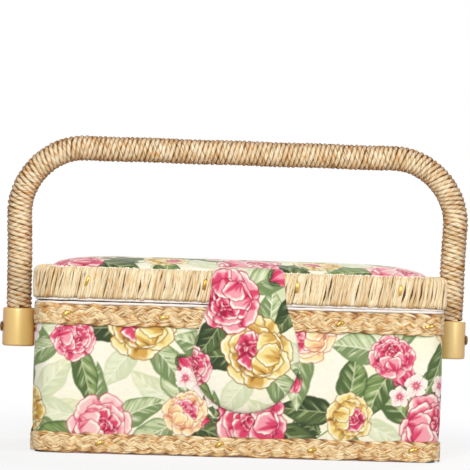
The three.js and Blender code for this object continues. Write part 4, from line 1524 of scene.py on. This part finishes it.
    def lining(self) -> None:
        """Builds the satin pad under the lid: flat over the lip, and swollen into the box inside it."""
        low, high = box_of("lid_lining")
        reach, half = high[1] + self.lining_roll, high[0] + self.lining_roll
        along = np.r_[-reach, np.linspace(-reach + 0.3, reach - 0.3, 100), reach]
        across, run, _ = panel(along, rounded_half(along, reach, half, Walls.corner), columns=170)
        room_x = box_of("lining_right")[0][0] - self.lining_clear
        room_y = box_of("lining_back")[0][1] - self.lining_clear
        inside = np.clip(1.0 - np.abs(across / room_x) ** 10, 0.0, 1.0)
        inside = inside * np.clip(1.0 - np.abs(run / room_y) ** 8, 0.0, 1.0)
        seam_half = 1.5
        fold = np.abs(np.mod(across / self.channel + 0.5, 1.0) - 0.5) * self.channel
        sewn = 1.0 - 0.6 * np.exp(-((fold / seam_half) ** 2))
        height = low[2] - self.lining_swell * inside * sewn * (1.0 + 0.1 * ripples(across, run, 18.0, 8))
        height[:, -2:] = low[2] + self.lining_thick
        piece = tubes("lid_lining_quilt", np.stack([across, run, height], axis=-1)[None])
        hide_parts("lid_lining")
        self.wardrobe.dress(piece, "lining satin", "lid")

    def edging(self) -> None:
        """Builds the lining's turned edge: a white roll under the raffia, drawn in behind for the hinge."""
        middle = box_of("lid_lining")[0][2] + self.edging_rise
        edging_back, edging_wave = 0.988, (0.05, 13.0)
        roll, inner = self.edging_roll, -self.edging_in - 3.0 * self.edging_roll
        turn = np.linspace(-QUARTER_TURN, QUARTER_TURN, 7)
        out = np.r_[inner, roll * np.cos(turn) - self.edging_in, inner]
        height = middle + np.r_[-0.6 * roll, roll * np.sin(turn), 0.6 * roll]
        rings = self.course().band(out, height, edging_wave)
        rings[..., 1] = np.minimum(rings[..., 1], edging_back * rings[..., 1])
        piece = tubes("lid_edging", rings, ring_road=True)
        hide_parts("lid_lining")
        self.wardrobe.dress(piece, "lip tape", "lid")

    def hinge(self) -> None:
        """Builds the cloth hinge: a sheet glued behind the braid and in the rim, rolled out at its fold."""
        low, high = box_of("hinge_tape")
        fold, thick = 0.5 * (low[2] + high[2]), high[1] - low[1]
        inset, bulge, half_roll = 0.8, 0.9, 2.2
        level = np.linspace(fold - self.hinge_hold, fold + self.hinge_hold, 25)
        face = high[1] - inset + bulge * np.exp(-(((level - fold) / half_roll) ** 4))
        out, height = np.r_[face, (face - thick)[::-1]], np.r_[level, level[::-1]]
        along = np.linspace(low[0], high[0], 90)[:, None]
        rings = np.stack(np.broadcast_arrays(along, out, height), axis=-1)[None]
        piece = tubes("hinge_cloth", rings)
        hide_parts("hinge_tape")
        self.wardrobe.dress(piece, "lip tape", None)
        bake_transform(piece)


@dataclass
class Tab(SubAssembly):
    """The closing tab: one padded printed cloth over the rim and down the front."""

    thick: float = 2.3  # thickness of the flap
    strap_thick: float = 1.4
    pitch: float = 0.32  # distance between its printed points
    top_half: float = 15.5  # half width of the strap's end on the dome
    neck_half: float = 17.5  # half width where the strap becomes the flap
    shoulder_drop: float = 26.0  # from the top of the flap down to its widest place
    flare_power: float = 1.35  # how late the flap's sides flare
    tuck: float = 3.0  # length over which the strap's end thins down to the rim
    bend_half: float = 2.0  # half the length of cloth about the tab's hinge
    print_place: Pair = (102.0, 108.0)  # where the print's repeat starts on the tab

    def build(self) -> None:
        """Builds and dresses the tab's pieces."""
        self.cloth()
        self.wardrobe.dress_nodes("plain brass", "tab_magnet")

    def back_line(self) -> tuple[Array, Array, Array, Array]:
        """The line of the tab's back in the Y-Z plane, from the dome over the rim and down to its end.

        Returns:
            Distance along the line, y, z and the angle of its outward direction from -Y upwards.
        """
        edge = Lid.rim_edge + 0.15
        rim_low, rim_high = box_of("rim_wrap")
        flap_low, flap_high = box_of("tab_flap")
        middle_y, middle_z = rim_low[1] + Lid.rim_edge, rim_high[2] - Lid.rim_edge
        turn = np.linspace(QUARTER_TURN, 0.0, 25)
        arc_y, arc_z = middle_y - edge * np.cos(turn), middle_z + edge * np.sin(turn)
        y = np.r_[box_of("tab_strap")[1][1], arc_y, flap_high[1], flap_high[1]]
        z = np.r_[arc_z[0] - 0.3, arc_z, flap_high[2] - 1.5, flap_low[2]]
        return run_along(y, z), y, z, np.r_[QUARTER_TURN, turn, 0.0, 0.0]

    def half_widths(self, length: float, round_end: float) -> tuple[Array, Array]:
        """The tab's outline: the strap widens to the flap, which flares as an eased step to a half circle.

        Args:
            length: The tab's whole length.
            round_end: Radius of its end.

        Returns:
            Places along the tab and its half width at each.
        """
        shoulder = length - round_end
        straight = np.linspace(0.0, shoulder, round(shoulder / self.pitch))
        sweep = np.linspace(0.0, QUARTER_TURN, round(QUARTER_TURN * round_end / self.pitch))[1:-1]
        flap_start = shoulder - self.shoulder_drop
        flare = np.clip((straight - flap_start) / self.shoulder_drop, 0.0, 1.0)
        half = self.top_half + (self.neck_half - self.top_half) * np.clip(straight / flap_start, 0.0, 1.0)
        half = half + (round_end - self.neck_half) * (flare ** self.flare_power * (2.3 - 1.3 * flare))
        return np.r_[straight, shoulder + round_end * np.sin(sweep)], np.r_[half, round_end * np.cos(sweep)]

    def cloth(self) -> None:
        """Builds the tab's cloth.

        Its thickness is that of the stuffing times the root of 1 - r^12, r being 1 at its edge, and below the
        braid its edge bends in to the wall as r^4. The strap's end thins down as a quarter circle.
        """
        flap_low, flap_high = box_of("tab_flap")
        middle, round_end = 0.5 * (flap_low[0] + flap_high[0]), 0.5 * (flap_high[0] - flap_low[0])
        walked, y, z, angle = self.back_line()
        run, half = self.half_widths(walked[-1], round_end)
        shoulder = walked[-1] - round_end
        across, along, share = panel(run, half, round(2.0 * round_end / self.pitch))
        fall = np.clip((along - shoulder) / round_end, 0.0, 1.0)
        edge = np.sqrt(share ** 2 * (1.0 - fall ** 2) + fall ** 2)
        body = np.sqrt(np.clip(1.0 - edge ** 12, 0.0, 1.0))
        stuffed = smooth((along - (shoulder - self.shoulder_drop) + 4.0) / 9.0)
        depth = self.strap_thick + (self.thick - self.strap_thick) * stuffed
        puckers = 0.08 * np.sin(FULL_TURN * (along + 0.6 * across) / 5.5) * edge ** 4
        height = depth * (0.12 + 0.88 * body) + 0.3 * (1.0 - edge ** 2) + puckers * body
        height = height + 0.12 * body * ripples(across, along, 14.0, 21)
        height = height * np.sqrt(1.0 - 0.99 * np.clip(1.0 - along / self.tuck, 0.0, 1.0) ** 2)
        height[:, -2:] = 0.0
        heading, level = np.interp(along, walked, angle), np.interp(along, walked, z)
        hug = edge ** 4 * smooth((box_of("top_braid")[0][2] - 1.0 - level) / 7.0)
        points = np.stack([middle + across, np.interp(along, walked, y) + hug - height * np.cos(heading),
                           level + height * np.sin(heading)], axis=-1)
        piece = self.printed("tab_cloth", points, across, along, self.print_place, upwards=-1.0)
        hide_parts("tab_strap", "tab_flap")
        self.wardrobe.dress(piece, "printed cotton", None)
        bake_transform(piece)


@dataclass
class Handle(SubAssembly):
    """The handle: straw cords wound over a bent core, between two moulded caps."""

    rise: float = 85.0  # from the pivots up to the middle of the grip
    bend: float = 30.5  # radius of the bends
    lean: float = 1.5  # angle that each leg leans outwards, in degrees
    cords: int = 4  # how many cords are wound side by side
    cord_pitch: float = 2.12  # distance between neighbouring turns
    cord_thick: float = 1.32  # radius of a cord across the winding
    cord_spread: float = 0.56  # half width of a cord along the winding, as a share of the pitch
    ply_lay: float = 4.4  # length of cord in which its plies turn once
    cord_steps: int = 32  # rings for each turn of a cord
    cord_sides: int = 10  # points round a cord
    cap_edge: float = 1.0  # radius of the caps' edges
    socket: Pair = (4.0, 4.0)  # radius and depth of the caps' sockets
    cap_sides: int = 64  # points round a cap

    def build(self) -> None:
        """Builds and dresses the handle's pieces."""
        self.winding()
        self.caps()
        self.wardrobe.dress_nodes("bent cane", "handle_core")

    def middle_line(self) -> tuple[Array, Array, Array, Array]:
        """The handle's middle line from the left cap's top to the right cap's: leg, bend, grip, bend, leg.

        Returns:
            Distance along the line, x, z and heading, finely spaced.
        """
        cap_low, cap_high = box_of("right_cap")
        foot_x, foot_z = 0.5 * (cap_low[0] + cap_high[0]), cap_high[2] + 0.2
        grip_z = 0.5 * (cap_low[2] + cap_high[2]) + self.rise
        lean = math.radians(self.lean)
        leg = (grip_z - foot_z - self.bend * (1.0 + math.sin(lean))) / math.cos(lean)
        reach = foot_x + leg * math.sin(lean) - self.bend * math.cos(lean)
        turn = np.linspace(QUARTER_TURN + lean, 0.0, 60)
        x = np.r_[-foot_x, -reach - self.bend * np.sin(turn)]
        z = np.r_[foot_z, grip_z - self.bend * (1.0 - np.cos(turn))]
        heading = np.r_[turn[0], turn]
        x, z, heading = np.r_[x, -x[::-1]], np.r_[z, z[::-1]], np.r_[heading, -heading[::-1]]
        return run_along(x, z), x, z, heading

    def winding(self) -> None:
        """Builds the cords: helices side by side round the middle line, each a twisted two-ply section."""
        walked, x, z, heading = self.middle_line()
        lead = self.cords * self.cord_pitch
        core_low, core_high = box_of("handle_core")
        core = 0.5 * (core_high[1] - core_low[1])
        along = np.linspace(0.0, walked[-1], round(walked[-1] / lead * self.cord_steps))
        cord = np.arange(self.cords)[:, None]
        draw = np.random.default_rng(8)
        uneven = 0.1 * np.sin(FULL_TURN * along / draw.uniform(21.0, 34.0, (self.cords, 1)) + cord)
        angle = FULL_TURN * (along / lead + cord / self.cords) + uneven
        px, pz, turn = (np.interp(along, walked, values) for values in (x, z, heading))
        out = np.stack([-np.sin(turn) * np.cos(angle), np.sin(angle), np.cos(turn) * np.cos(angle)], axis=-1)
        radius = core + self.cord_thick + 0.12 * np.sin(0.9 * along + 2.0 * cord)
        line = np.stack([px, np.zeros_like(px), pz], axis=-1) + out * radius[..., None]
        ahead = np.gradient(line, axis=1)
        ahead = ahead / np.linalg.norm(ahead, axis=-1, keepdims=True)
        side = np.cross(ahead, out)
        around = FULL_TURN * np.arange(self.cord_sides) / self.cord_sides
        coil = np.linalg.norm(np.diff(line, axis=1), axis=-1)
        run = np.concatenate([np.zeros((self.cords, 1)), np.cumsum(coil, axis=1)], axis=1)
        twist = (FULL_TURN * run / self.ply_lay)[..., None]
        ply = np.cos(2.0 * around - twist)
        lobes = 1.0 + 0.09 * ply
        rise = self.cord_thick * lobes * np.sin(around)
        spread = self.cord_spread * self.cord_pitch * lobes * np.cos(around)
        rings = line[:, :, None] + rise[..., None] * out[:, :, None] + spread[..., None] * side[:, :, None]
        turned = around - 0.5 * twist
        grain = np.stack([np.broadcast_to(run[..., None], rise.shape) + 400.0 * cord[..., None],
                          1.2 * np.cos(turned), 1.2 * np.sin(turned)], axis=-1)
        # Painted shade: the cord darkens at its sides and underside, between the turns, and in the grooves
        # between its plies; the slow wave along it is its own tone
        shade = np.clip(0.2 + 0.8 * np.sin(around), 0.0, 1.0)
        tone = shade * (0.9 + 0.1 * ply) * (0.85 + 0.15 * np.sin(0.31 * run + 2.1 * cord))[..., None]
        piece = tubes("handle_cord", rings, grain=grain, tone=tone)
        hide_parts("handle_wrap")
        self.wardrobe.dress(piece, "handle cord", "handle")

    def caps(self) -> None:
        """Builds the caps: a turned profile with rounded edges and a socket round the cord's end."""
        angle = FULL_TURN * np.arange(self.cap_sides) / self.cap_sides
        quarter = np.linspace(0.0, QUARTER_TURN, 6)
        edge, (socket, depth) = self.cap_edge, self.socket
        for node in ("left_cap", "right_cap"):
            low, high = box_of(node)
            barrel = 0.5 * (high[0] - low[0]) - edge
            profile = np.r_[barrel + edge * np.sin(quarter), barrel + edge * np.cos(quarter), socket, socket]
            height = np.r_[low[2] + edge - edge * np.cos(quarter), high[2] - edge + edge * np.sin(quarter),
                           high[2] - 0.1, high[2] - depth]
            middle = 0.5 * (low + high)
            rings = np.stack(np.broadcast_arrays(middle[0] + profile[:, None] * np.cos(angle),
                                                 middle[1] + profile[:, None] * np.sin(angle),
                                                 height[:, None]), axis=-1)
            piece = tubes(f"{node}_moulding", rings[None], sharp=35.0)
            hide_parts(node)
            self.wardrobe.dress(piece, "gold moulding", "handle")


# Studio

@dataclass(frozen=True)
class Lamp:
    """A soft rectangular lamp aimed at the box."""

    name: str
    place: Triple  # where it hangs, in metres
    sides: Pair  # its width and height in metres
    power: float  # its power in watts


@dataclass
class Studio:
    """Floor, light and camera."""

    place: Triple = (-62.5, -1300.0, 90.0)  # where the camera stands
    yaw: float = 2.709  # how far it looks to the right, in degrees
    roll: float = 1.826  # how far the picture is turned clockwise
    lens: float = 211.0  # focal length for a 36 mm sensor
    shift: float = 0.0513  # how far the lens is raised, as a share of the picture
    floor_reach: float = 6000.0  # half the floor's side
    world_light: float = 0.26  # strength of the light from all round
    target: Triple = (0.0, 0.0, 0.06)  # the point in metres that the lamps are aimed at
    # A key from the left front, a weaker fill and one from behind
    lamps: tuple[Lamp, ...] = (Lamp("key", (-0.36, -1.5, 0.8), (0.4, 1.1), 18.4),
                               Lamp("fill", (1.0, -1.15, 0.5), (0.4, 0.9), 7.6),
                               Lamp("back", (0.6, 1.4, 1.0), (0.9, 0.9), 14.0))

    def build(self) -> None:
        """Sets up the scene round the box."""
        self.floor()
        self.lights()
        self.camera()
        bpy.context.scene.view_settings.view_transform = "Standard"

    @staticmethod
    def seen(bench: NodeBench) -> Socket:
        """1 for what the camera sees, directly, in a reflection or through glass.

        Args:
            bench: A bench in the material or world.

        Returns:
            The value's socket.
        """
        rays = bench.put("LightPath")
        total = bench.sum_of("ADD", rays.outputs["Is Camera Ray"], rays.outputs["Is Glossy Ray"])
        total = bench.sum_of("ADD", total, rays.outputs["Is Transmission Ray"])
        return bench.sum_of("MINIMUM", total, 1.0)

    def floor(self) -> None:
        """Builds the floor, a wide sheet just under the box that is white to the camera but keeps shadows."""
        reach, thick = self.floor_reach, 2.0
        flat = np.array([[-reach, -reach], [reach, -reach], [reach, reach], [-reach, reach]])
        level = np.array([-thick, 0.0])[:, None, None] + np.zeros((2, 4, 1))
        rings = np.concatenate([np.broadcast_to(flat, (2, 4, 2)), level], axis=-1)[None]
        floor = tubes("floor", rings)
        material = bpy.data.materials.new("pale floor")
        material.use_nodes = True
        bench = NodeBench(material.node_tree)
        bench.tree.nodes.clear()
        seen = self.seen(bench)
        grey = bench.put("MapRange", {"Value": seen, "To Min": 0.42, "To Max": 0.95}).outputs[0]
        matt = bench.put("BsdfDiffuse", {"Color": grey})
        white = bench.put("Emission", {"Color": (1.0, 1.0, 1.0, 1.0), "Strength": 1.0})
        place = bench.put("TexCoord").outputs["Object"]
        far = bench.put("VectorMath", {0: place}, operation="LENGTH").outputs[1]
        plain = bench.put("MapRange", {"Value": far, "From Min": 0.12, "From Max": 0.4, "To Min": 0.78,
                                       "To Max": 1.0}, interpolation_type="SMOOTHSTEP").outputs[0]
        share = bench.sum_of("MULTIPLY", seen, plain)
        both = bench.put("MixShader", {0: share, 1: matt.outputs[0], 2: white.outputs[0]})
        bench.put("OutputMaterial", {"Surface": both.outputs[0]})
        floor.data.materials.append(material)

    def lights(self) -> None:
        """Sets a plain soft light: a pale world, which the camera sees as white, and the lamps."""
        world = bpy.data.worlds.new("studio")
        bpy.context.scene.world = world
        world.use_nodes = True
        bench = NodeBench(world.node_tree)
        bench.tree.nodes.clear()
        lit = bench.put("Background", {"Color": (1.0, 1.0, 1.0, 1.0), "Strength": self.world_light})
        white = bench.put("Background", {"Color": (1.0, 1.0, 1.0, 1.0), "Strength": 1.0})
        both = bench.put("MixShader", {0: self.seen(bench), 1: lit.outputs[0], 2: white.outputs[0]})
        bench.put("OutputWorld", {"Surface": both.outputs[0]})
        for lamp in self.lamps:
            light = bpy.data.lights.new(lamp.name, "AREA")
            light.shape = "RECTANGLE"
            light.energy, light.size, light.size_y = lamp.power, *lamp.sides
            holder = bpy.data.objects.new(lamp.name, light)
            holder.location = lamp.place
            aim = np.array(self.target) - np.array(lamp.place)
            holder.rotation_euler = Vector(aim).to_track_quat("-Z", "Y").to_euler()
            bpy.context.scene.collection.objects.link(holder)

    def camera(self) -> None:
        """Sets the camera level, by the direction that it looks in and its roll."""
        yaw, roll = math.radians(self.yaw), math.radians(self.roll)
        ahead = np.array([math.sin(yaw), math.cos(yaw), 0.0])
        right, up = np.array([math.cos(yaw), -math.sin(yaw), 0.0]), np.array([0.0, 0.0, 1.0])
        right, up = (right * math.cos(roll) + up * math.sin(roll),
                     up * math.cos(roll) - right * math.sin(roll))
        lens = bpy.data.cameras.new("camera")
        lens.sensor_width, lens.lens, lens.shift_y = 36.0, self.lens, self.shift
        lens.clip_end = 100.0
        holder = bpy.data.objects.new("camera", lens)
        turn = Matrix(np.column_stack([right, up, -ahead]).tolist()).to_4x4()
        holder.matrix_world = Matrix.Translation((np.array(self.place) * MM).tolist()) @ turn
        bpy.context.scene.collection.objects.link(holder)
        bpy.context.scene.camera = holder


def main() -> None:
    """Builds the box's sub-assemblies in order, then the studio, and notes the sizes."""
    logging.basicConfig(level=logging.INFO, format="%(name)s: %(message)s")
    wardrobe, tile = Wardrobe(), PrintedTile()
    for part in (Walls, Lid, Tab, Handle):
        part(wardrobe, tile).build()
    Studio().build()


if __name__ == "__main__":
    main()
